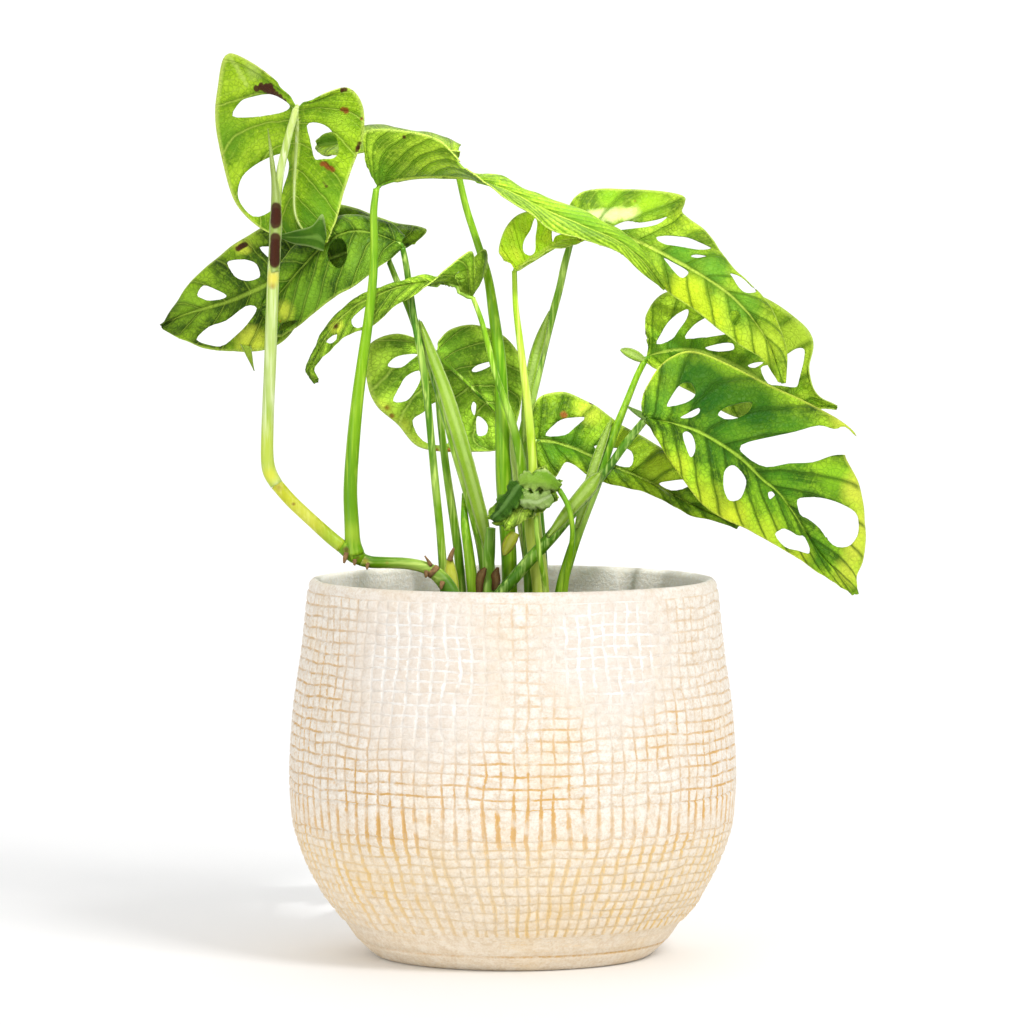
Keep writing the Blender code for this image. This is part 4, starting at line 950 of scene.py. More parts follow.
def leaf_skin(
    name, skin, vein_gap, vein_slant, vein_show, rim, rim_share, patches, mottle, tint=None, side_vein=None
):
    """Leaf skin: cloudy greens with painted shade, quilted panels between the side veins with painted shade
    on one half and painted light on the other, a fine net of veins, painted shade along the veins and a thin
    rim.
    """
    deep, middle, lit, vein = skin
    material, where = new_material(name, 0.42)
    shader_of(material).inputs["Specular IOR Level"].default_value = 0.12
    sheet = add_node(material, "UVMap", {}, uv_map="blade").outputs["UV"]
    along, off_rib, _ = split_axes(material, sheet)
    off_rib = apart(material, off_rib, 0.0)
    share = add_node(material, "Attribute", {}, attribute_name="across").outputs["Fac"]
    clouds = add_noise(material, where, 62, 4.0, 0.6)
    colour = middle
    if tint:
        tint_colour, tint_start, tint_amount = tint
        reach = total(material, share, between(material, clouds, 0.3, 0.7, -0.25, 0.25))
        reach = between(material, reach, tint_start, 0.95, 0.0, tint_amount)
        colour = blend_colours(material, reach, colour, tint_colour)

    drift = product(material, add_noise(material, sheet, 0.12, 2.0), 2.2)
    lean = combine(material, "SUBTRACT", along, product(material, off_rib, vein_slant))
    lean = total(material, lean, drift)
    main = combine(material, "PINGPONG", lean, vein_gap / 2)
    one_side = combine(material, "PINGPONG", total(material, lean, vein_gap * 0.3), vein_gap / 2)
    panel_lit_side = between(material, one_side, vein_gap * 0.08, vein_gap * 0.42)
    shaded = between(material, total(material, clouds, product(material, panel_lit_side, 0.10)), 0.62, 0.42)
    lights = product(material, panel_lit_side, between(material, clouds, 0.45, 0.66, 0.15, 1.0))
    flecks = between(material, add_noise(material, where, 420, 4.0, 0.7), 0.50, 0.66, 0.0, 0.65)
    cells = add_node(
        material, "TexVoronoi", {"Scale": 560, "Vector": shaken(material, where, 120, 1.6)},
        feature="DISTANCE_TO_EDGE",
    )
    net = between(material, cells.outputs["Distance"], 0.14, 0.02, 0.0, 0.42)
    fine_line = between(material, combine(material, "PINGPONG", lean, vein_gap / 8), 0.05, 0.32, 0.25, 0.0)
    # Painted shade in cloudy patches and on the shaded half of each quilted panel, and painted light on its
    # lit half; then paler flecks, a darker net of fine veins and the fine vein lines.
    for amount, over in (
        (product(material, shaded, 0.85), deep),
        (product(material, lights, mottle), lit),
        (product(material, flecks, mottle), lit),
        (product(material, net, mottle), deep),
        (product(material, fine_line, vein_show), vein),
    ):
        colour = blend_colours(material, amount, colour, over)
    colour = patch_on(material, where, colour, [patch for patch in patches if patch[2] >= WIDE_PATCH], 1.2)

    side_line = between(material, main, vein_gap / 2 - 0.42, vein_gap / 2 - 0.08)
    rib_line = between(material, off_rib, 0.85, 0.35)
    # Painted shade along the midrib and beside each side vein; the side veins in their own colour, which
    # where it is darker stands partly for the shade in their grooves; the midrib line; and a rim along the
    # margin, whose pale edge on the leaves is partly painted highlight.
    for amount, over in (
        (between(material, off_rib, 3.2, 0.8, 0.0, 0.5), deep),
        (between(material, main, vein_gap / 2 - 1.3, vein_gap / 2 - 0.4, 0.0, 0.45), deep),
        (product(material, side_line, 0.7, vein_show), side_vein or vein),
        (product(material, rib_line, vein_show), vein),
        (product(material, between(material, share, 1.0 - rim_share, 1.0), 0.9), rim),
    ):
        colour = blend_colours(material, amount, colour, over)
    colour = patch_on(material, where, colour, [patch for patch in patches if patch[2] < WIDE_PATCH])
    paint(material, colour)
    lines = total(material, combine(material, "MAXIMUM", side_line, rib_line), net)
    relief = combine(material, "SUBTRACT", product(material, flecks, 0.8), lines)
    add_bump(material, total(material, relief, product(material, fine_line, -1.2)), 0.0004, 0.8)
    return material


def make_leaf(
    name, stations, skin, stalk, camber=1.0, holes=(), notches=(), patches=(), vein_gap=7.0,
    vein_slant=0.45, vein_show=0.5, rim=(0.50, 0.68, 0.10), rim_share=0.06, pucker=0.45, ripple=0.7,
    wave=9.0, mottle=0.75, rib=0.7, tint=None, side_vein=None,
):
    """One finished leaf, with its midrib run into the end of its stalk."""
    blade = Blade(stations, camber)
    shape = flat_blank(blade, holes, notches)
    bend_blank(shape, blade, vein_gap, vein_slant, pucker, ripple, wave)
    thicken(shape, BLADE_THICKNESS)
    t = np.linspace(0, blade.last * 0.97, RIB_STEPS)
    radii = list(np.linspace(rib, RIB_TIP, RIB_STEPS) * MM)
    rib_places, rib_normals = on_sheet(blade, t, np.zeros(RIB_STEPS))
    shift = -(0.9 * pucker + math.copysign(BLADE_THICKNESS, pucker)) * MM * np.clip(t * 2, 0, 1)
    end, radius = (values[-1] for values in stalk_line(STALKS[stalk]))
    places = [Vector(place) for place in rib_places + rib_normals * shift[:, None]]
    places = [end] + [place for place in places if (place - end).length > 0.6 * MM]
    radii = [0.85 * radius] + radii[-len(places) + 1:]
    tube(shape, places, radii, sides=10, material_index=1)
    marks = [blade.mark(patch) for patch in patches]
    material = leaf_skin(
        name + "_skin", skin, vein_gap, vein_slant, vein_show, rim, rim_share, marks, mottle, tint, side_vein
    )
    midrib = stalk_skin(name + "_midrib", STALK_FINISHES[stalk])
    leaf = new_piece(name + "_finished", shape, [material, midrib])
    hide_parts(name)


# Top left leaf. The highest leaf, seen from its underside, with the light through it painted into its bright
# yellow-green. It has a dead brown edge by its upper hole, a few rust spots and a darker flap folded round at
# its tip: its upper side's darker green, with painted shade inside the curl.
make_leaf(
    "leaf_top_left",
    camber=-2.5,
    stations=[
        ((-74.5, 294.8, 21), (-84, 305.4, 16), (-67, 297.8, 17)),
        ((-74.5, 291.3, 19), (-98.2, 313.0, 8), (-57, 300.9, 11)),
        ((-74.5, 287, 17), (-102.3, 300, 3), (-51.9, 294.8, 7)),
        ((-74.8, 281, 14), (-102.7, 288, 1), (-51.8, 284, 5)),
        ((-75.3, 273, 11), (-99.7, 272.5, 1), (-55.5, 273.8, 4)),
        ((-75.6, 265, 9), (-95.6, 260.5, 2), (-58.6, 265, 5)),
        ((-75.2, 257.5, 8), (-86.5, 252, 3), (-60.4, 256.8, 6)),
        ((-72, 251.5, 8), (-76, 248.3, 5), (-62.9, 250.8, 7)),
        ((-65.2, 247.0, 7), (-65.8, 246.5, 7), (-64.7, 247.4, 7)),
    ],
    holes=[
        (-1, [(-97, 291.4), (-94.5, 296.2), (-90.5, 297.9), (-83.5, 298.9), (-78, 296.3), (-77.2, 294),
              (-81, 292.3), (-90, 291)]),
        (-1, [(-79, 278.2), (-84, 277.2), (-89.5, 274.3), (-93.6, 270.5), (-95.2, 265.5), (-94.4, 261.3),
              (-90, 256.6), (-84.5, 258), (-80.6, 262), (-79.2, 267), (-77.2, 274)]),
        (1, [(-71.3, 288), (-68, 289.2), (-64, 287.6), (-61, 283.5), (-60.4, 279.3), (-62, 277),
             (-65.5, 276.5), (-68.3, 276.3), (-69.5, 280)]),
    ],
    stalk="petiole_top_left",
    skin=((0.085, 0.202, 0.003), (0.247, 0.456, 0.009), (0.484, 0.715, 0.033), (0.605, 0.814, 0.11)),
    patches=[
        # The first two patches are painted shade inside the curled tip, over its darker upper side.
        (-70, 255, 3, 9, (0.06, 0.20, 0.006), 0.8), (-78, 250, 2, 6, (0.07, 0.22, 0.006), 0.8),
        (-63, 262, 3, 9, (0.12, 0.30, 0.008), 0.6), (-98, 285, 3, 10, (0.14, 0.33, 0.01), 0.6),
        (-90, 308, 1.5, 5, (0.52, 0.70, 0.14), 0.6), (-60, 290, 2, 8, (0.34, 0.56, 0.03), 0.5),
        *streak([(-88.5, 301.0), (-86.5, 301.8), (-84.0, 301.2), (-82.0, 299.6)], 1.1, 1.5, DEAD_BROWN),
        *streak([(-85.5, 300.4), (-82.0, 298.8), (-79.5, 297.4), (-77.6, 295.6)], 0.8, 1.3, DEAD_BROWN),
        *streak([(-58.6, 293.6), (-56.4, 292.2)], 0.7, 1.2, RUST, 0.85),
        *streak([(-65.8, 275.0), (-63.4, 273.6), (-61.4, 272.2)], 0.7, 1.2, RUST, 0.85),
        *streak([(-65.6, 268.2), (-64.2, 266.4)], 0.4, 0.9, DEAD_BROWN, 0.8),
        *streak([(-53.4, 282.0), (-54.0, 279.0)], 0.5, 1.0, DEAD_BROWN, 0.9),
        *streak([(-59.4, 300.4), (-57.2, 300.4)], 0.5, 0.9, DEAD_BROWN, 0.9),
        (-52.8, 290.5, 0.4, 0.9, RUST, 0.9),
        *streak([(-97.5, 311.5), (-94.0, 306.0), (-91.5, 301.5)], 0.5, 1.4, (0.56, 0.74, 0.14), 0.35),
    ],
    vein_gap=8.0,
    vein_slant=0.7,
    vein_show=0.55,
    pucker=-0.5,
    rim=(0.62, 0.76, 0.14),
    tint=((0.36, 0.58, 0.012), 0.5, 0.6),
)

# Long arching leaf. It leaves its stalk edge on, rolls over and hangs to the right in a long narrow point,
# with veins that run lengthwise and a pale yellow midrib edge.
make_leaf(
    "leaf_long_arch",
    camber=2.0,
    stations=[
        ((-46.8, 266.3, 13), (-51.2, 277.5, 17), (-48, 279, 8)),
        ((-43, 268, 12), (-51, 286, 20), (-45, 285, 6)),
        ((-34, 269.8, 11), (-38, 286.3, 24), (-36, 284.6, 4)),
        ((-24, 270.2, 11), (-26, 283.3, 28), (-25, 281.5, 4)),
        ((-14.5, 269.8, 11), (-14.5, 272.6, 28), (-15.5, 272.4, 2)),
        ((-5, 267.3, 11), (-4, 264.3, 26), (-6, 271.2, 1)),
        ((5, 262.5, 11), (5.5, 257.8, 25), (5, 266.2, 1)),
        ((15, 257.6, 11), (15, 251.4, 24), (16, 262, 1)),
        ((25.5, 253.2, 11), (25, 248.6, 22), (27, 257.7, 2)),
        ((36, 248.6, 10), (35.5, 245.2, 18), (37, 252, 3)),
        ((45, 241.5, 9), (43.5, 238.2, 12), (46.5, 244, 5)),
        ((53, 231, 8), (52.4, 231.2, 8.5), (53.4, 231.5, 7.5)),
    ],
    holes=[
        (-1, [(-19.5, 276.3), (-17, 276.9), (-15.4, 274.9), (-16.4, 273.6)]),
    ],
    stalk="petiole_long_arch",
    skin=((0.078, 0.18, 0.003), (0.28, 0.5, 0.018), (0.552, 0.792, 0.048), (0.72, 0.912, 0.12)),
    patches=[
        (24, 256, 4, 12, (0.16, 0.38, 0.02), 0.7), (40, 248, 3, 9, (0.18, 0.40, 0.02), 0.6),
        (-46, 271, 2, 8, (0.06, 0.20, 0.004), 0.7), (-47, 282, 3, 7, (0.13, 0.33, 0.008), 0.6),
        (-36, 277, 3, 9, (0.50, 0.70, 0.10), 0.6), (-24, 273, 3, 8, (0.14, 0.34, 0.01), 0.6),
        (-37.5, 284.3, 0.4, 1.0, DEAD_BROWN, 0.9),
    ],
    side_vein=(0.16, 0.36, 0.010),
    vein_gap=6.0,
    vein_slant=1.6,
    vein_show=0.55,
    pucker=0.35,
)

# Left spotted leaf. Broad and dark, hanging to the left, with one black-brown spot in a yellow halo, a
# yellowing lobe below, and painted shadow by its base where the left under leaf shades it.
make_leaf(
    "leaf_left_spotted",
    camber=1.5,
    stations=[
        ((-43, 243.8, -7), (-34, 247.2, -10), (-44.2, 241.8, -7)),
        ((-46, 245.7, -8), (-30, 252.5, -14), (-48, 240, -8)),
        ((-52, 246, -8), (-43, 255.3, -17), (-54, 236.2, -8)),
        ((-60, 243.3, -6), (-57, 260.2, -18), (-62, 231, -8)),
        ((-70, 239.7, -4), (-70, 260.5, -16), (-72, 222, -7)),
        ((-79, 236.3, -2), (-80.5, 256.5, -13), (-80, 213.5, -5)),
        ((-88, 231.8, 0), (-90, 251, -9), (-89, 210, -3)),
        ((-97, 227.7, 2), (-99.5, 244.9, -4), (-98, 209.8, -2)),
        ((-106, 225, 3), (-109, 237, 0), (-107.5, 211, 0)),
        ((-115, 222.2, 4), (-116, 228, 3), (-115.5, 214.4, 2)),
        ((-122.2, 218.5, 4), (-121.9, 219.1, 4), (-122, 218, 4)),
    ],
    holes=[
        (-1, [(-99, 240.3), (-97, 241.6), (-92, 241.6), (-88.8, 240), (-87.6, 236.2), (-89.2, 234.9),
              (-92.5, 234.3), (-96.3, 235.6)]),
        (-1, [(-109.4, 229.5), (-107.2, 232.7), (-103, 231.4), (-99.3, 229.4), (-100.5, 228), (-105, 227.4),
              (-107.6, 228.2)]),
        (1, [(-109.8, 213.8), (-105.5, 218.5), (-99.5, 220.5), (-92.8, 225.5), (-88.8, 224.9), (-91.5, 220),
             (-95, 216), (-100, 211.9), (-104, 211.6)]),
        (-1, [(-87.8, 246), (-83, 246), (-81.5, 243), (-83.5, 241.5)]),
    ],
    stalk="petiole_left_spotted",
    skin=((0.011, 0.033, 0.001), (0.069, 0.165, 0.003), (0.27, 0.45, 0.018), (0.378, 0.558, 0.054)),
    patches=[
        (-90, 213, 3, 7, YELLOWING, 0.7), (-93, 249, 2, 7, (0.40, 0.58, 0.04), 0.7),
        (-112, 226, 3, 8, (0.24, 0.44, 0.02), 0.6), (-93.7, 246, 1.8, 4.2, YELLOWING, 0.8),
        # The next two patches are painted shadow of the left under leaf near this leaf's base.
        (-60, 250, 4, 12, (0.06, 0.17, 0.006), 0.6), (-48, 246, 4, 9, (0.09, 0.24, 0.008), 0.6),
        *streak([(-95.2, 245.4), (-94.0, 246.6), (-92.2, 246.9)], 0.9, 1.4, DEAD_BROWN),
    ],
    vein_gap=8.5,
    vein_slant=0.6,
    vein_show=0.5,
    tint=((0.26, 0.46, 0.01), 0.55, 0.7),
)

# Left under leaf. It lies just behind the spotted leaf: dark by its midrib, with painted light on its lower
# half towards the margin, and yellow at its tip with an orange spot.
make_leaf(
    "leaf_left_under",
    camber=2.0,
    stations=[
        ((-38.5, 247, 4.5), (-39.8, 244.2, 4.5), (-36.8, 250, 1)),
        ((-46, 250.3, 4.5), (-46.5, 239.3, 6), (-41, 253.4, -1)),
        ((-54, 252, 4), (-55, 232.8, 8), (-50, 256.3, -2)),
        ((-61, 250.3, 4), (-62, 228.5, 8), (-60, 256, -1)),
        ((-67.5, 245.3, 3), (-69, 223, 6), (-68, 250.6, 1)),
        ((-74, 238.3, 2), (-76, 217.6, 4), (-76, 245.6, 0)),
        ((-80, 231.3, 1.5), (-82.3, 215.2, 3), (-81.5, 237.6, 0)),
        ((-86.5, 224.5, 1), (-86.8, 223.8, 1), (-86.6, 225.3, 1)),
    ],
    holes=[
        (-1, [(-64, 244), (-62.8, 247.6), (-60, 249), (-57.8, 247), (-57.6, 242), (-60, 238.6),
              (-63, 240.6)]),
        (-1, [(-80.9, 217), (-80.2, 219.3), (-77.5, 220.5), (-74.6, 220.6), (-77, 218.6)]),
    ],
    stalk="petiole_left_under",
    skin=((0.013, 0.044, 0.001), (0.075, 0.188, 0.004), (0.237, 0.427, 0.019), (0.38, 0.57, 0.062)),
    patches=[
        # The two pale green patches are painted light on the lower half.
        (-78.5, 224, 1.5, 4.5, YELLOWING, 0.7), (-50, 240, 4, 10, (0.22, 0.43, 0.03), 0.6),
        (-70, 228, 3, 9, (0.19, 0.40, 0.02), 0.6), (-80, 220.3, 0.4, 1.1, (0.60, 0.20, 0.02), 0.9),
    ],
    vein_gap=7.5,
    vein_slant=0.6,
)

# Edge-on leaf. The camera sees it from its edge, at the back, as a green strip between the top left leaf and
# the long arch.
make_leaf(
    "leaf_edge_on",
    camber=1.5,
    stations=[
        ((-19.5, 274.6, -17), (-18.2, 279, -10), (-17.8, 281.5, -26)),
        ((-26, 280.3, -19), (-24, 278.7, -8), (-23, 283.8, -34)),
        ((-36, 283.2, -21), (-34, 280, -7), (-34, 286, -40)),
        ((-47, 284, -23), (-46, 280, -7), (-46, 288, -42)),
        ((-57, 282.5, -25), (-58, 278.2, -10), (-56, 287, -38)),
        ((-64, 281, -26), (-65.5, 277.8, -16), (-64.5, 285, -34)),
        ((-68, 281.0, -27), (-68.2, 280.2, -26), (-68.2, 281.9, -28)),
    ],
    stalk="petiole_edge_on",
    skin=((0.068, 0.149, 0.002), (0.31, 0.53, 0.02), (0.529, 0.747, 0.046), (0.667, 0.851, 0.103)),
)

# Young yellow leaf. Small, thin and still pale, with a dry brown tip.
make_leaf(
    "leaf_young_yellow",
    camber=-1.5,
    stations=[
        ((0.8, 238.2, 4), (-2.2, 241, 3), (1.8, 239.2, 7)),
        ((3.5, 240, 4), (-5, 244.3, 1), (4.6, 240.2, 9)),
        ((7, 242, 4), (-2.6, 252.5, -1), (8.6, 242.2, 10)),
        ((11.5, 244.7, 3), (3, 257.7, -3), (13.5, 244.9, 10)),
        ((16, 247.2, 3), (12, 258.4, -3), (17.8, 245.6, 9)),
        ((20, 248.6, 3), (19.5, 255, -1), (21, 246.6, 6)),
        ((23.7, 248.4, 3), (23.9, 249.2, 2), (23.6, 247.8, 4)),
    ],
    holes=[
        (-1, [(7.6, 256), (8.6, 254), (8, 249), (7.8, 244.7), (6.2, 243), (4.2, 243.8), (3.6, 245.8),
              (4.2, 248.5), (6.2, 252)]),
        (-1, [(13.9, 247.7), (15, 249.6), (18.6, 251), (17.8, 254.5), (14.4, 255), (13.6, 251.5)]),
    ],
    stalk="petiole_young_yellow",
    skin=((0.459, 0.833, 0.015), (0.731, 0.93, 0.03), (0.8, 0.93, 0.068), (0.8, 0.93, 0.156)),
    patches=[(23.4, 248.4, 0.3, 1.5, RUST, 0.9), (0, 250, 3, 8, (0.32, 0.56, 0.02), 0.6)],
    side_vein=(0.42, 0.60, 0.02),
    vein_gap=5.0,
    vein_slant=0.5,
)

# Upper right leaf. A long leaf behind the arch that hangs to the right, pale along its upper edge and
# yellow-green below.
make_leaf(
    "leaf_upper_right",
    camber=1.0,
    stations=[
        ((20.5, 248.3, -6), (17.5, 256, -10), (22, 247, -5)),
        ((26, 251.0, -6), (23, 264.6, -13), (27, 248.8, -5)),
        ((34, 250.6, -5), (37, 265.6, -14), (34, 246.5, -4)),
        ((42, 248, -4), (58.6, 264.0, -9), (42, 241.5, -3)),
        ((51, 244, -3), (58.5, 257.6, -12), (48, 236, -2)),
        ((60, 239.2, -2), (67, 251.2, -10), (55, 229.8, -1)),
        ((68, 234.8, -1), (74.5, 241, -7), (63, 224.3, 0)),
        ((76, 229, 1), (84, 231.9, -3), (72, 217.3, 3)),
        ((83.5, 221, 2), (90.5, 222.5, 0), (80, 211.3, 4)),
        ((89.5, 211, 4), (95, 210.5, 3), (86.5, 207.4, 6)),
        ((93.6, 198.3, 6), (94.4, 198.8, 6), (93, 198.6, 6)),
    ],
    holes=[
        (-1, [(33.6, 252.3), (37, 254.2), (40, 254.9), (44, 254.2), (50, 255.4), (53.5, 256.5),
              (50, 253.8), (44, 252.6), (37, 251.9)]),
        (-1, [(49.5, 249.2), (53, 249.9), (58, 249.5), (62, 248.5), (68.6, 245.8), (66, 244.9),
              (60, 245.6), (53, 246.8)]),
        (-1, [(61.6, 242.7), (63.5, 243.4), (67, 242.6), (64, 242)]),
        (1, [(52.3, 242.3), (56, 240.6), (60, 238.2), (60.8, 236.8), (59, 235.2), (56.6, 236.6),
             (54, 239.6)]),
        (-1, [(75, 236.6), (79, 236), (83, 232.8), (84.6, 230.6), (80.8, 229.8), (78.2, 232)]),
        (1, [(75.4, 223.3), (77.8, 223.9), (79.2, 221.6), (77.4, 218.7), (76, 220.4)]),
    ],
    stalk="petiole_upper_right",
    skin=((0.045, 0.122, 0.002), (0.232, 0.432, 0.014), (0.456, 0.674, 0.043), (0.589, 0.76, 0.095)),
    patches=[
        *streak([(26.0, 256.0), (33.0, 257.0), (44.0, 257.5)], 1.5, 3.5, (0.80, 0.90, 0.34), 0.5),
        (48, 261, 2, 8, (0.30, 0.56, 0.01), 0.7), (34, 263, 2, 6, (0.20, 0.46, 0.01), 0.7),
        (58, 243, 3, 8, (0.10, 0.33, 0.012), 0.7), (70, 238, 3, 8, (0.12, 0.36, 0.02), 0.7),
        (80, 226, 3, 8, (0.12, 0.36, 0.02), 0.6), (60, 230, 4, 9, (0.62, 0.78, 0.02), 0.7),
        (68, 222, 3, 8, (0.60, 0.78, 0.02), 0.6), (87, 212, 3, 9, (0.56, 0.74, 0.04), 0.6),
        (42.5, 261.3, 0.5, 1.1, RUST, 0.9), (54, 235.8, 0.3, 1.0, (0.80, 0.70, 0.10), 0.8),
    ],
    side_vein=(0.13, 0.33, 0.006),
    vein_gap=9.0,
    vein_slant=0.8,
    vein_show=0.6,
    tint=((0.50, 0.70, 0.02), 0.35, 0.8),
)

# Right pale leaf. Medium green by its stalk and yellow-green to the right, behind the large leaf, with
# painted light where it shows through the large leaf's hole.
make_leaf(
    "leaf_right_pale",
    camber=-1.5,
    stations=[
        ((46.3, 207.6, -7), (46.6, 214, -10), (46, 206.2, -6)),
        ((51, 209.3, -8), (46, 222, -16), (51, 203, -8)),
        ((57, 210.2, -10), (52, 229.8, -20), (57, 198.5, -10)),
        ((64, 209.8, -11), (62, 231, -22), (64, 194.5, -11)),
        ((71.5, 207.3, -12), (74, 230, -22), (71, 190, -11)),
        ((79, 203.7, -12), (86, 229, -20), (79, 186.7, -10)),
        ((86, 199.3, -12), (97, 222.4, -16), (87, 186, -9)),
        ((93, 195.3, -11), (104, 214.5, -12), (95, 187.2, -8)),
        ((100, 192.5, -10), (103.4, 203.5, -10), (102, 189, -8)),
        ((106.5, 191, -10), (106, 194.5, -9), (107, 189.5, -9)),
        ((113, 190.5, -9), (112.8, 191.1, -9), (112.8, 190, -9)),
    ],
    holes=[
        (-1, [(49.8, 212), (51.5, 216), (54, 220), (58, 223.2), (60.8, 224.2), (60.2, 221), (57.3, 216.8),
              (55, 213.7)]),
        (-1, [(60, 214), (62, 218), (65.5, 220.6), (69.5, 222), (74, 219.5), (75, 216), (70, 215)]),
        (-1, [(66.6, 211), (71, 212.3), (76, 212.5), (76.4, 210.3), (71, 209.7)]),
        (-1, [(81.5, 204.8), (84, 205.9), (87, 206), (84, 204.1)]),
        (-1, [(86, 204), (90, 205.6), (95, 208.6), (98.6, 210.8), (101.4, 210.3), (100.8, 205), (99.4, 199.4),
              (98, 197.3), (93, 198), (88.6, 198.8)]),
    ],
    stalk="petiole_right_pale",
    skin=((0.036, 0.117, 0.001), (0.23, 0.47, 0.012), (0.484, 0.726, 0.033), (0.616, 0.836, 0.099)),
    patches=[
        (98, 212, 5, 15, (0.52, 0.74, 0.05), 0.75), (60, 212, 4, 12, (0.10, 0.30, 0.010), 0.7),
        # Yellow-green with painted light where the leaf shows through the large leaf's hole, in that leaf's
        # shade.
        (85, 194, 4, 14, (0.46, 0.66, 0.08), 0.6),
    ],
    side_vein=(0.09, 0.26, 0.004),
    vein_gap=8.0,
    vein_slant=0.5,
    tint=((0.46, 0.68, 0.03), 0.5, 0.7),
)

# Large right leaf. The nearest and largest, dark green with light side veins, cut in from the right where a
# hole has grown through its margin, and yellowing along that margin and its lower edge.
make_leaf(
    "leaf_right_large",
    camber=2.0,
    stations=[
        ((46, 186.6, 17), (44.5, 190.5, 17), (46.6, 185.4, 18)),
        ((52, 185.7, 17), (46.5, 197, 13), (49.5, 180.5, 20)),
        ((58, 184, 18), (53, 206.5, 9), (54, 172.8, 22)),
        ((64, 182, 18), (64, 209.8, 6), (59.5, 165, 23)),
        ((70, 178.8, 18), (84, 200.6, 5), (65.5, 157, 23)),
        ((75.5, 175.3, 17.5), (106, 190.0, 5), (72.5, 152.2, 22)),
        ((80.5, 171.3, 17), (119, 180.5, 6), (80, 148.8, 20)),
        ((86, 165.8, 16), (115, 174, 7), (88, 144.5, 18)),
        ((92, 160.8, 15), (120.5, 163, 6), (95, 140.5, 16)),
        ((98, 152.8, 14), (122.5, 150, 6), (102, 136.3, 14)),
        ((103.5, 143.5, 13), (122, 139, 7), (108.5, 132, 13)),
        ((110.5, 135, 12), (119.5, 131.5, 9), (114, 128.2, 12)),
        ((119, 125.4, 10), (119.5, 126, 10), (118.6, 125.2, 10)),
    ],
    holes=[
        (-1, [(53.6, 190.6), (55, 194), (58, 198), (61.5, 198.9), (63.4, 196), (62.4, 193.2), (58, 191.3)]),
        (-1, [(58.2, 186.7), (60.5, 188.2), (64.4, 190), (64.6, 188.4), (62, 186.8)]),
        (-1, [(71.2, 187.6), (73.5, 190.2), (79, 191.9), (83, 192), (82, 189), (79, 186.8), (74.6, 186)]),
        (1, [(58.8, 180.6), (60.4, 182), (62.4, 180.3), (63.3, 176), (62, 173), (60.2, 176)]),
        (1, [(73, 165), (74, 169), (77, 170.2), (79.8, 167), (80.9, 163.8), (79.2, 159), (75.4, 158),
             (73.4, 161)]),
        (1, [(88.4, 160.4), (89.8, 161.1), (90.8, 159.8), (89, 158.4)]),
        (-1, [(98.8, 158.4), (103, 159.2), (109, 158.6), (116, 156), (120, 152.5), (119.6, 145.5),
              (116, 142), (111, 142.7), (106.5, 148.4), (102.6, 151.7), (100, 153.2)]),
        (1, [(91.2, 146.4), (94.5, 148.3), (98.6, 146), (101.2, 145.2), (103.2, 139.8), (99.5, 140.6),
             (94.6, 142)]),
    ],
    notches=[
        (-1, [(118.8, 180.2), (115.3, 183.4), (111.6, 182.7), (106, 184), (98, 181.8), (90, 180.1),
              (79.2, 177.3), (81.3, 173.2), (88, 169.7), (96, 171), (104, 171.4), (110.5, 173.8),
              (115, 174)]),
    ],
    stalk="petiole_right_large",
    skin=((0.014, 0.052, 0.001), (0.128, 0.323, 0.006), (0.416, 0.741, 0.026), (0.528, 0.816, 0.072)),
    patches=[
        (66, 198, 7, 17, (0.010, 0.095, 0.001), 0.9), (84, 191, 6, 16, (0.016, 0.115, 0.001), 0.85),
        (98, 181, 4, 12, (0.04, 0.20, 0.004), 0.7), (74, 178, 4, 13, (0.035, 0.17, 0.004), 0.7),
        (92, 164, 4, 13, (0.05, 0.22, 0.006), 0.6), (104, 140, 3, 9, (0.08, 0.27, 0.008), 0.6),
        (55, 206, 2, 7, (0.10, 0.28, 0.010), 0.5), (50, 192, 3, 8, (0.06, 0.22, 0.012), 0.5),
        (112, 166, 3, 9, (0.20, 0.48, 0.012), 0.6), (120, 162, 3, 8, YELLOWING, 0.85),
        (121.5, 150, 2, 8, YELLOWING, 0.85), (119, 141, 2, 7, YELLOWING, 0.8),
        (116, 133, 2, 7, YELLOWING, 0.7), (114, 185, 1, 6, YELLOWING, 0.8),
        (58, 170, 1, 6, (0.60, 0.74, 0.03), 0.75),
        (66, 158, 2, 9, (0.58, 0.74, 0.03), 0.8), (76, 152, 2, 9, (0.66, 0.78, 0.03), 0.85),
        (88, 146, 2, 8, (0.52, 0.70, 0.03), 0.7), (100, 139, 1, 6, (0.58, 0.72, 0.03), 0.7),
    ],
    rim=(0.60, 0.70, 0.08),
    rim_share=0.035,
    side_vein=(0.03, 0.13, 0.002),
    vein_gap=8.5,
    vein_slant=0.55,
    vein_show=0.6,
    pucker=0.45,
    tint=((0.42, 0.64, 0.02), 0.45, 0.85),
)

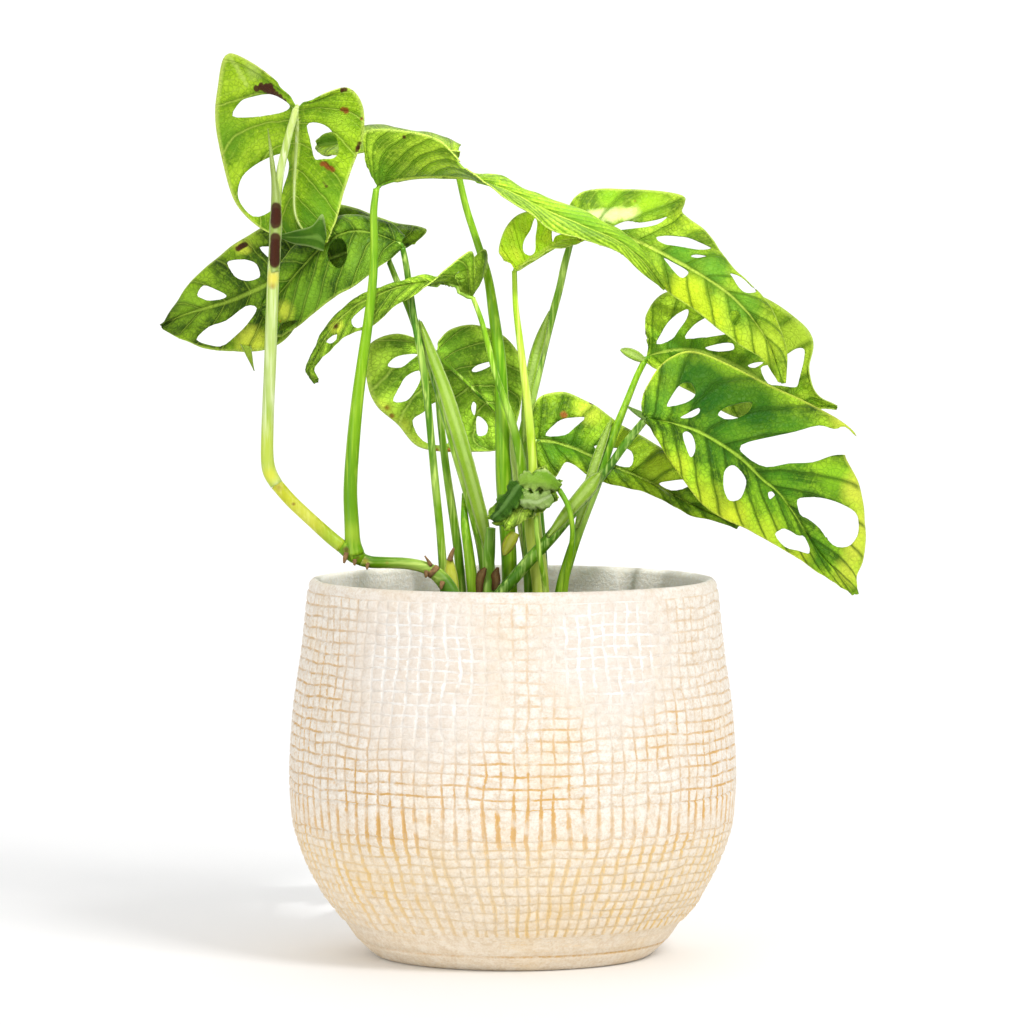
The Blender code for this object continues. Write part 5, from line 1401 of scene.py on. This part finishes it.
# Low right leaf. Bright yellow-green behind the two right stalks, with a brown ring spot, and its lower half
# turned under in a grey-green strip.
make_leaf(
    "leaf_low_right",
    camber=1.5,
    stations=[
        ((7.8, 179, -4), (6.4, 187, -6), (9, 168, -1)),
        ((13, 178.6, -4), (9, 193.5, -8), (14.6, 166, 1)),
        ((20, 176.4, -4), (17, 195.4, -9), (19, 171.5, 1)),
        ((28, 172.8, -4), (28, 191.3, -10), (27, 166.3, 1)),
        ((36, 169.3, -4), (38, 184.3, -10), (35, 163.6, 1)),
        ((44, 166, -3), (48, 178.4, -8), (43, 162, 1)),
        ((52, 162, -1), (56, 172.8, -5), (51, 159.4, 2)),
        ((60, 157.6, 1), (64, 164.5, -2), (59, 154.8, 3)),
        ((69, 153.2, 3), (71.5, 156.5, 1), (68.5, 151.6, 4)),
        ((79, 149, 4), (79.2, 149.6, 4), (78.7, 148.5, 4)),
    ],
    holes=[
        (-1, [(11.4, 180.6), (14, 184), (18, 186.4), (24.8, 186.7), (21.5, 183.3), (18, 180.8)]),
        (-1, [(28.2, 176.8), (33, 176.5), (40, 175.8), (41.9, 173), (40.6, 169.7), (34.5, 171.2)]),
        (-1, [(50.8, 163.9), (55, 164.9), (60.2, 165), (60.6, 162.4), (55, 161.6)]),
    ],
    stalk="petiole_low_right",
    skin=((0.025, 0.07, 0.001), (0.144, 0.302, 0.006), (0.342, 0.57, 0.019), (0.475, 0.665, 0.076)),
    patches=[
        (26, 189, 2, 7, YELLOWING, 0.5), (38, 179, 2, 8, (0.38, 0.55, 0.02), 0.6),
        (52, 168, 4, 11, (0.42, 0.58, 0.02), 0.6), (17, 177, 4, 10, (0.05, 0.19, 0.006), 0.75),
        (31, 172, 4, 9, (0.07, 0.22, 0.012), 0.7),
        (17.5, 187.8, 1.3, 2.0, RUST, 0.9), (17.5, 187.8, 0.6, 1.1, (0.42, 0.36, 0.12), 0.9),
        (27, 191.5, 0.4, 1.0, DEAD_BROWN, 0.9),
    ],
    side_vein=(0.06, 0.20, 0.004),
    vein_gap=7.5,
    vein_slant=0.7,
    tint=((0.38, 0.55, 0.01), 0.55, 0.5),
)

# Small curled leaf. Narrow and rolled along its midrib, it ends in a drip tip, with one black-brown spot.
make_leaf(
    "leaf_small_curled",
    camber=1.0,
    stations=[
        ((-14, 228.6, 0.5), (-12.8, 239, 7), (-8.6, 238, -6)),
        ((-17, 230.5, 1.5), (-14.5, 244.8, 10), (-10, 245.3, -4)),
        ((-22, 232.5, 3), (-21.5, 239.2, 12), (-19, 236.8, 0)),
        ((-27, 233.5, 5), (-28.5, 233.6, 11), (-26, 235.4, 3)),
        ((-33, 233.8, 6), (-34.5, 229, 9), (-33, 235.3, 4.5)),
        ((-40, 232.5, 6), (-41, 225.5, 8.5), (-40, 234, 4.5)),
        ((-47, 230, 5.5), (-48.5, 218.8, 7.5), (-47, 231.4, 4)),
        ((-53.5, 226.8, 4.5), (-55, 216.5, 6.5), (-54.3, 228, 2.5)),
        ((-60, 221.5, 3.5), (-59.5, 214, 5.5), (-61.3, 222.4, 0)),
        ((-65, 214.5, 2.5), (-63, 210.5, 4.5), (-66.3, 215, -1)),
        ((-69, 207, 2), (-67, 207, 3.5), (-69.9, 207, -1)),
        ((-70.6, 202.8, 1.5), (-69.4, 203, 2), (-71.4, 202.8, 0)),
        ((-67.8, 199.2, 1), (-67.4, 199.7, 1.5), (-68.2, 198.8, 0.5)),
    ],
    holes=[
        (-1, [(-20.2, 235), (-18.8, 237.6), (-15.6, 238), (-16.6, 234.8), (-19, 234.2)]),
        (-1, [(-56, 220.8), (-52, 224.6), (-49, 226), (-49.4, 220.5), (-54, 218)]),
        (-1, [(-64.6, 213.6), (-61, 215.8), (-61.2, 214), (-63.2, 212.6)]),
    ],
    stalk="petiole_small_curled",
    skin=((0.032, 0.084, 0.002), (0.19, 0.37, 0.012), (0.481, 0.741, 0.052), (0.576, 0.816, 0.096)),
    patches=[
        (-61, 218.5, 1.4, 3.4, YELLOWING, 0.8), (-20, 243, 3, 9, (0.13, 0.34, 0.01), 0.6),
        (-61, 218.5, 0.7, 1.7, DEAD_BROWN, 0.95),
    ],
    vein_gap=6.0,
    vein_slant=1.2,
)

# Inner left leaf. Broad, behind the stalks, seen from its dull underside, with a light midrib and a yellowing
# lower edge that has a few rust spots.
make_leaf(
    "leaf_inner_left",
    camber=-2.0,
    stations=[
        ((-25.6, 208.2, -13), (-29.5, 211.8, -15), (-25.8, 213, -15)),
        ((-23.5, 206, -14), (-40, 216, -19), (-21, 217.6, -19)),
        ((-21, 203.8, -15), (-50.3, 211.5, -22), (-13, 219, -22)),
        ((-18, 201, -16), (-50.6, 199.5, -24), (-4, 215.8, -24)),
        ((-14.5, 197.5, -17), (-47.3, 191, -24), (1.5, 210, -25)),
        ((-11, 194, -18), (-40, 184.5, -24), (4, 203, -25)),
        ((-7.5, 190.7, -19), (-33, 177, -23), (3.5, 196.5, -24)),
        ((-4.5, 187, -19), (-22, 175, -22), (2.3, 190.5, -23)),
        ((-2.5, 182.5, -19), (-11, 175.3, -21), (1.2, 185, -21)),
        ((-1, 177.2, -19), (-1.8, 176.8, -19), (-0.4, 177.5, -19)),
    ],
    holes=[
        (-1, [(-43.4, 204.6), (-41.5, 207.3), (-38, 208.6), (-33, 208.8), (-35.5, 206.6), (-39, 204.1)]),
        (-1, [(-41.5, 192.6), (-39.6, 197), (-37.2, 201), (-32.6, 203.2), (-32, 200.3), (-34, 196),
              (-37, 192.6)]),
        (-1, [(-34.8, 185.8), (-31, 188.7), (-26.5, 192.4), (-21.8, 189.5), (-21.4, 183), (-22.6, 178),
              (-28, 177.6), (-32.4, 180)]),
        (1, [(-14, 203.4), (-12, 205.2), (-7, 206.4), (-7.6, 204.8), (-12.4, 202.8)]),
        (-1, [(-14.5, 190), (-13.8, 192.3), (-12.7, 191.2), (-13.4, 187.4)]),
        (-1, [(-12.4, 187.2), (-10.2, 186.2), (-8.7, 183.8), (-9.4, 181), (-12.2, 180.6), (-12.8, 184)]),
    ],
    stalk="petiole_inner_left",
    skin=((0.065, 0.156, 0.005), (0.297, 0.567, 0.024), (0.608, 0.928, 0.072), (0.624, 0.84, 0.132)),
    patches=[
        (-46, 189, 1.5, 5, YELLOWING, 0.65), (-41, 182, 1.5, 5, YELLOWING, 0.65),
        (-34, 178, 1.5, 5, (0.52, 0.66, 0.05), 0.6), (-22, 212, 4, 11, (0.12, 0.29, 0.015), 0.6),
        (-27, 175.6, 0.5, 1.4, RUST, 0.9), (-22, 175.6, 0.5, 1.2, RUST, 0.9),
        (-43.5, 191, 0.5, 1.3, RUST, 0.8), (-42, 188, 0.5, 1.2, RUST, 0.8),
    ],
    vein_gap=7.5,
    vein_slant=0.6,
    vein_show=0.5,
    pucker=-0.35,
    tint=((0.40, 0.58, 0.04), 0.6, 0.6),
)

# Crumpled leaf. A young leaf that dried as it opened: creased all over, pale-veined on its top side, and
# dark in its folds with painted shade.
make_leaf(
    "leaf_crumpled",
    camber=1.0,
    stations=[
        ((15.8, 162.6, 17), (17.4, 165, 14), (15.2, 160, 20)),
        ((11.5, 163.5, 15), (12.8, 168, 10), (12.8, 156, 19)),
        ((7, 161.5, 17), (7, 168.4, 11), (9, 153.2, 18)),
        ((2.5, 159.5, 16), (1.8, 165.4, 10), (4, 151, 20)),
        ((-2.5, 155.8, 17), (-3.5, 160.6, 11), (-1.4, 147.6, 19)),
        ((-7.2, 150.8, 16), (-8.2, 152, 14), (-6.4, 149.4, 17)),
    ],
    stalk="petiole_crumpled",
    skin=((0.015, 0.06, 0.001), (0.165, 0.385, 0.008), (0.66, 0.93, 0.09), (0.744, 0.93, 0.18)),
    patches=[
        # The first and the last patch are painted shade in the folds.
        (-5, 152, 1.0, 4, (0.05, 0.15, 0.004), 0.7), (2, 152, 1.0, 4, (0.50, 0.68, 0.10), 0.6),
        (13, 157, 1.0, 4, (0.10, 0.32, 0.01), 0.7),
    ],
    vein_gap=5.5,
    vein_slant=1.1,
    vein_show=0.45,
    pucker=0.8,
    ripple=2.6,
    wave=3.2,
    mottle=0.9,
    rib=0.5,
)

# Leaf sheaths. Thin pale wings that wrapped each young leaf and now lie along its stalk, some of them dried
# brown. Each is a narrow strip grown from the stalk, so it lies close against it, and is made as a blade is,
# but thinner and with lengthwise veins.
SHEATH_THICKNESS = 0.3
SHEATH_CAMBER = 0.4
SHEATH_WAVES = 30.0
SHEATH_VEINS = {"vein_gap": 3.0, "vein_slant": -9.0, "vein_show": 0.25}
SHEATH_GREEN = ((0.24, 0.46, 0.01), (0.42, 0.66, 0.04), (0.66, 0.84, 0.20), (0.76, 0.88, 0.40))
SHEATH_PALE = ((0.40, 0.58, 0.08), (0.56, 0.74, 0.18), (0.74, 0.86, 0.42), (0.80, 0.90, 0.50))
DRIED_BAND = (0.085, 0.026, 0.012)


def make_sheath(name, stations, skin, patches=(), rim=(0.66, 0.80, 0.35), ripple=0.15, wave=9.0):
    """A small thin piece of leaf that rides on no solid of its own."""
    blade = Blade(stations, SHEATH_CAMBER)
    shape = flat_blank(blade, (), ())
    bend_blank(shape, blade, SHEATH_WAVES, 0.0, 0.0, ripple, wave)
    thicken(shape, SHEATH_THICKNESS)
    marks = [blade.mark(patch) for patch in patches]
    material = leaf_skin(
        name + "_skin", skin, rim=rim, rim_share=0.25, patches=marks, mottle=0.5, **SHEATH_VEINS
    )
    sheath = new_piece(name, shape, [material])


make_sheath(
    "sheath_top_left",
    [
        ((-82.9, 237, 19.2), (-84.8, 237, 17.3), (-80.9, 237, 17.6)),
        ((-82.5, 246, 19.7), (-84.6, 246, 17.7), (-80.4, 246, 18.0)),
        ((-82.0, 254, 20.2), (-84.3, 254, 18.2), (-79.9, 254, 18.6)),
        ((-81.9, 262, 20.4), (-83.8, 262, 18.9), (-80.3, 262, 19.2)),
        ((-82.5, 270, 20.6), (-83.7, 270, 19.4), (-81.5, 270, 19.9)),
        ((-83.6, 278, 20.4), (-84.3, 278, 19.8), (-83.0, 278, 20.1)),
        ((-84.8, 287, 19.7), (-84.9, 287, 19.6), (-84.7, 287, 19.7)),
    ],
    SHEATH_PALE,
    streak([(-82.6, 240.6), (-82.3, 250.2)], 1.9, 2.6, DRIED_BAND)
    + streak([(-82.3, 254.4), (-82.0, 260.6)], 1.9, 2.6, DRIED_BAND),
)
make_sheath(
    "sheath_left_spotted",
    [
        ((-32.3, 221, 0.6), (-32.4, 221, 0.5), (-32.2, 221, 0.5)),
        ((-28.6, 210, 1.9), (-30.2, 210, 1.3), (-26.8, 210, 0.4)),
        ((-24.0, 198, 3.1), (-26.4, 198, 2.8), (-21.8, 198, 0.6)),
        ((-20.0, 186, 4.3), (-22.8, 186, 4.0), (-17.8, 186, 1.4)),
        ((-16.4, 174, 4.4), (-19.4, 174, 4.2), (-14.4, 174, 1.4)),
        ((-13.0, 162, 3.5), (-16.0, 162, 3.3), (-11.2, 162, 0.8)),
        ((-10.2, 150, 2.4), (-12.6, 150, 2.3), (-8.4, 150, -0.2)),
        ((-8.6, 140, 1.2), (-9.6, 140, 1.1), (-7.6, 140, 0.4)),
    ],
    SHEATH_GREEN,
)
make_sheath(
    "sheath_edge_on",
    [
        ((0.0, 188, -5.6), (-0.1, 188, -5.7), (0.1, 188, -5.7)),
        ((0.8, 178, -5.6), (-1.2, 178, -6.0), (2.2, 178, -6.8)),
        ((2.2, 168, -5.6), (-0.4, 168, -6.0), (4.0, 168, -7.0)),
        ((3.0, 158, -5.6), (0.6, 158, -6.0), (4.8, 158, -7.0)),
        ((3.6, 148, -5.8), (1.8, 148, -6.2), (5.0, 148, -6.8)),
        ((4.0, 138, -6.2), (3.4, 138, -6.4), (4.6, 138, -6.4)),
    ],
    SHEATH_PALE,
)
make_sheath(
    "sheath_upper_right",
    [
        ((12.6, 224, -6.2), (12.5, 224, -6.3), (12.7, 224, -6.3)),
        ((9.6, 214, -5.9), (7.5, 214, -7.0), (11.4, 214, -6.4)),
        ((7.2, 205, -6.4), (5.0, 205, -7.6), (9.2, 205, -6.8)),
        ((5.4, 196, -7.0), (3.4, 196, -8.2), (7.2, 196, -7.4)),
        ((4.2, 187, -7.4), (3.0, 187, -8.4), (5.6, 187, -7.6)),
        ((3.8, 178, -7.8), (3.4, 178, -8.0), (4.2, 178, -8.0)),
    ],
    SHEATH_GREEN,
)
make_sheath(
    "sheath_right_pale",
    [
        ((34.4, 187, 3.2), (34.3, 187, 3.1), (34.5, 187, 3.1)),
        ((31.6, 180, 4.9), (30.4, 180, 4.2), (33.2, 180, 4.9)),
        ((28.8, 172, 6.0), (27.2, 172, 5.0), (30.8, 172, 6.2)),
        ((26.2, 164, 6.6), (24.7, 164, 5.4), (28.4, 164, 6.8)),
        ((24.2, 156, 6.2), (22.8, 156, 5.0), (26.2, 156, 6.4)),
        ((22.0, 148, 5.4), (21.4, 148, 5.0), (22.8, 148, 5.4)),
    ],
    SHEATH_GREEN,
)
make_sheath(
    "sheath_right_large",
    [
        ((30.8, 168.2, 15.6), (30.7, 168.3, 15.5), (30.9, 168.1, 15.5)),
        ((27.0, 163.6, 16.2), (25.8, 165.8, 14.8), (29.0, 161.4, 15.4)),
        ((22.0, 157.6, 16.2), (20.6, 159.6, 14.8), (23.6, 155.6, 15.2)),
        ((17.0, 151.4, 15.9), (15.8, 153.0, 14.6), (18.2, 149.8, 15.0)),
        ((12.0, 145.2, 15.4), (11.6, 145.8, 15.0), (12.4, 144.6, 15.0)),
    ],
    SHEATH_GREEN,
)

# Root stubs and withered scraps. Short dry air roots at the stem's joints, papery brown remains of sheaths
# round the stem and at the young shoot's foot, and the top left leaf's flap, dark with painted shade inside
# its curl, and the spotted leaf's spike.
dry_root, where = new_material("dry_root", 0.8)
root_lines = add_noise(dry_root, where, 800, 3.0)
paint(dry_root, blend_colours(dry_root, root_lines, (0.04, 0.016, 0.008), (0.46, 0.26, 0.09)))
add_bump(dry_root, root_lines, 0.0004)
ROOT_STUBS = [
    [(-57.8, 139.8, 12.0, 0.9), (-58.3, 137.9, 12.6, 0.8), (-58.7, 136.2, 12.8, 0.35)],
    [(-54.9, 137.4, 12.0, 0.8), (-55.0, 136.2, 12.6, 0.6), (-55.0, 135.4, 12.8, 0.3)],
    [(-50.4, 136.2, 10.6, 0.8), (-50.6, 134.9, 11.2, 0.6), (-50.7, 134.0, 11.4, 0.3)],
    [(-30.0, 133.4, 9.6, 0.9), (-30.1, 132.2, 10.2, 0.7), (-30.2, 131.2, 10.4, 0.35)],
    [(-24.4, 129.6, 11.0, 1.0), (-24.8, 128.2, 11.8, 0.7), (-25.0, 127.0, 12.0, 0.35)],
    [(-21.9, 137.2, 2.0, 1.1), (-21.2, 139.6, 2.4, 0.8), (-20.4, 141.6, 2.6, 0.35)],
    [(-28.4, 135.4, 9.4, 0.8), (-29.5, 137.2, 10.0, 0.5), (-30.6, 138.8, 10.2, 0.2)],
    [(-26.9, 132.6, 8.4, 2.5), (-27.6, 133.3, 8.3, 2.7), (-28.3, 133.9, 8.2, 2.5)],
]
stub_shape = bmesh.new()
for route in ROOT_STUBS:
    tube(stub_shape, *stalk_line(route, step=0.7), sides=10)
stubs = new_piece("root_stubs", stub_shape, [dry_root])
DRY_SCRAP = ((0.10, 0.04, 0.012), (0.26, 0.13, 0.035), (0.46, 0.30, 0.10), (0.55, 0.40, 0.16))
SCRAP_RIM = (0.12, 0.05, 0.015)
make_sheath(
    "scrap_by_shoot_left",
    [
        ((-11.6, 124, 9), (-12.4, 124, 8.6), (-10.8, 124, 10.4)),
        ((-11.4, 130, 10.4), (-12.6, 130.4, 9.2), (-10.0, 130, 11.4)),
        ((-10.6, 132.6, 11), (-11.8, 133.2, 10), (-9.4, 132.4, 11.6)),
        ((-9.4, 134.6, 11.2), (-9.6, 134.8, 11.1), (-9.2, 134.4, 11.3)),
    ],
    DRY_SCRAP, rim=SCRAP_RIM,
)
make_sheath(
    "scrap_by_shoot_right",
    [
        ((-6.2, 127, 9.6), (-7.4, 127, 10.8), (-5.2, 127, 8.8)),
        ((-5.6, 130, 10.4), (-7.2, 130, 11.4), (-4.6, 130.4, 9.4)),
        ((-6.0, 132.6, 10.8), (-7.4, 132.2, 11.4), (-5.0, 133.2, 10.2)),
        ((-5.2, 134.8, 10.6), (-5.4, 134.7, 10.7), (-5.0, 134.9, 10.6)),
    ],
    DRY_SCRAP, rim=SCRAP_RIM,
)
make_sheath(
    "scrap_under_crumple",
    [
        ((1.0, 147.0, 19.2), (-0.6, 147.4, 18.8), (2.4, 146.4, 19.0)),
        ((-0.6, 144.4, 19.8), (-2.6, 145.2, 19.0), (1.4, 143.6, 19.4)),
        ((-2.0, 141.6, 20.0), (-3.8, 142.0, 19.2), (-0.4, 140.8, 19.6)),
        ((-3.2, 138.8, 19.8), (-3.6, 139.0, 19.6), (-2.8, 138.6, 19.8)),
    ],
    ((0.26, 0.36, 0.01), (0.66, 0.66, 0.02), (0.80, 0.74, 0.10), (0.66, 0.62, 0.24)),
    rim=(0.30, 0.16, 0.04),
)
# The top left leaf's curled flap: the darker green of its upper side, with painted shade inside the curl.
make_sheath(
    "flap_top_left",
    [
        ((-80.6, 249.7, 10.6), (-80.9, 250.0, 10.5), (-80.4, 249.4, 10.5)),
        ((-76.0, 249.4, 11.4), (-75.2, 251.6, 11.0), (-76.0, 247.4, 11.0)),
        ((-71.0, 249.4, 11.8), (-69.4, 253.4, 11.2), (-71.4, 246.6, 11.2)),
        ((-67.6, 249.0, 11.8), (-65.9, 257.4, 11.0), (-67.8, 245.4, 11.0)),
        ((-65.2, 247.2, 11.0), (-64.6, 249.6, 10.8), (-65.4, 244.6, 10.6)),
    ],
    ((0.03, 0.11, 0.004), (0.08, 0.24, 0.008), (0.22, 0.44, 0.03), (0.36, 0.58, 0.12)),
    rim=(0.50, 0.70, 0.22),
)
make_sheath(
    "spike_left_spotted",
    [
        ((-92.6, 212.0, -1.0), (-94.6, 212.4, -1.2), (-90.8, 212.0, -1.2)),
        ((-91.6, 208.6, -0.6), (-92.8, 209.0, -0.8), (-90.4, 208.6, -0.8)),
        ((-90.6, 205.4, -0.6), (-91.0, 205.6, -0.7), (-90.1, 205.4, -0.7)),
        ((-89.7, 203.0, -0.8), (-89.8, 203.0, -0.8), (-89.6, 203.0, -0.8)),
    ],
    ((0.20, 0.38, 0.01), (0.36, 0.56, 0.02), (0.52, 0.70, 0.06), (0.60, 0.76, 0.14)),
)

# Creased parts of the crumpled leaf. It dried as it opened: a pale quilted roll on top, a fold in painted
# shade that hangs to the left and a small bright curl between them, all parts of the one blade and joined
# along its rib.
CREASED_PALE = ((0.16, 0.38, 0.01), (0.56, 0.78, 0.16), (0.78, 0.90, 0.36), (0.24, 0.46, 0.02))
CREASED_SHADED = ((0.012, 0.055, 0.002), (0.05, 0.18, 0.004), (0.20, 0.46, 0.05), (0.34, 0.60, 0.16))
CREASED_BRIGHT = ((0.14, 0.34, 0.01), (0.62, 0.80, 0.24), (0.78, 0.90, 0.46), (0.86, 0.93, 0.62))
make_sheath(
    "crumple_top",
    [
        ((2.0, 163.8, 19.4), (1.6, 162.0, 20.2), (2.2, 165.4, 18.4)),
        ((4.4, 165.2, 21.0), (5.2, 161.8, 20.4), (3.8, 168.2, 17.8)),
        ((7.4, 165.0, 21.8), (7.6, 161.0, 20.2), (6.8, 168.8, 17.6)),
        ((10.6, 165.2, 21.0), (10.8, 161.4, 20.4), (10.2, 168.8, 17.4)),
        ((13.6, 164.6, 20.0), (13.4, 161.0, 19.8), (14.0, 167.4, 17.4)),
        ((16.6, 162.4, 18.4), (15.8, 161.4, 18.6), (17.0, 163.8, 17.8)),
    ],
    CREASED_PALE, rim=(0.66, 0.82, 0.30), ripple=2.2, wave=2.6,
)
# The fold that hangs to the left, dark in painted shade.
make_sheath(
    "crumple_left",
    [
        ((-7.0, 151.4, 19.4), (-7.6, 152.2, 18.4), (-6.2, 150.8, 19.4)),
        ((-4.4, 154.6, 20.4), (-6.0, 156.0, 18.2), (-2.8, 151.8, 20.4)),
        ((-2.0, 158.0, 20.8), (-4.2, 159.4, 18.2), (0.6, 154.4, 21.2)),
        ((0.4, 161.4, 20.6), (-1.6, 163.0, 18.4), (3.0, 158.0, 21.0)),
        ((2.6, 163.8, 19.8), (1.2, 165.0, 18.4), (4.4, 161.4, 20.2)),
    ],
    CREASED_SHADED, rim=(0.20, 0.42, 0.04), ripple=2.4, wave=3.0,
)
make_sheath(
    "crumple_middle",
    [
        ((2.8, 157.4, 21.2), (2.6, 159.0, 20.4), (3.2, 156.0, 20.6)),
        ((5.4, 157.8, 22.8), (5.0, 161.2, 20.4), (6.2, 154.8, 21.2)),
        ((8.2, 157.4, 22.6), (8.4, 160.8, 20.2), (8.8, 154.2, 21.0)),
        ((10.8, 158.6, 21.2), (10.6, 161.6, 20.0), (12.0, 155.8, 20.2)),
        ((13.4, 160.0, 19.6), (12.8, 161.8, 19.0), (14.4, 158.2, 19.2)),
    ],
    CREASED_BRIGHT, rim=(0.16, 0.38, 0.02), ripple=2.6, wave=2.4,
)

# Small lobes. The rounded ear of the edge-on leaf, which shows through the top left leaf's hole, and the
# curled ears at the bases of the two right leaves.
make_sheath(
    "ear_edge_on",
    [
        ((-60.4, 282.4, -25.4), (-60.2, 280.6, -25.2), (-60.4, 284.0, -25.8)),
        ((-62.2, 281.8, -25.0), (-62.0, 278.2, -24.6), (-62.2, 285.2, -26.0)),
        ((-64.2, 281.4, -24.8), (-64.2, 277.4, -24.4), (-64.2, 285.4, -26.0)),
        ((-66.2, 281.2, -24.8), (-66.4, 278.2, -24.6), (-66.2, 284.4, -25.8)),
        ((-67.8, 281.2, -25.0), (-67.9, 280.0, -25.0), (-67.8, 282.4, -25.2)),
    ],
    ((0.06, 0.20, 0.004), (0.18, 0.40, 0.010), (0.34, 0.58, 0.03), (0.44, 0.66, 0.10)),
    rim=(0.34, 0.56, 0.03),
)
make_sheath(
    "ear_right_pale",
    [
        ((46.2, 206.6, -6.0), (46.4, 207.4, -6.2), (46.0, 205.8, -5.8)),
        ((43.6, 208.0, -5.0), (44.0, 209.6, -5.8), (43.0, 206.4, -4.8)),
        ((41.0, 209.2, -4.6), (41.6, 210.8, -5.6), (40.4, 207.6, -4.4)),
        ((38.8, 210.2, -4.6), (39.2, 211.2, -5.2), (38.4, 209.0, -4.4)),
        ((37.4, 210.6, -4.8), (37.6, 210.9, -4.9), (37.2, 210.3, -4.8)),
    ],
    SHEATH_GREEN,
)
make_sheath(
    "ear_right_large",
    [
        ((47.0, 186.4, 17.6), (47.2, 187.2, 17.4), (46.8, 185.6, 17.8)),
        ((44.6, 187.8, 18.0), (45.2, 188.8, 17.6), (44.2, 186.8, 18.0)),
        ((42.2, 189.2, 18.2), (42.6, 189.9, 17.8), (41.9, 188.6, 18.2)),
        ((39.4, 191.0, 18.2), (39.5, 191.2, 18.1), (39.3, 190.9, 18.2)),
    ],
    ((0.04, 0.14, 0.004), (0.12, 0.32, 0.008), (0.40, 0.62, 0.10), (0.50, 0.70, 0.20)),
)
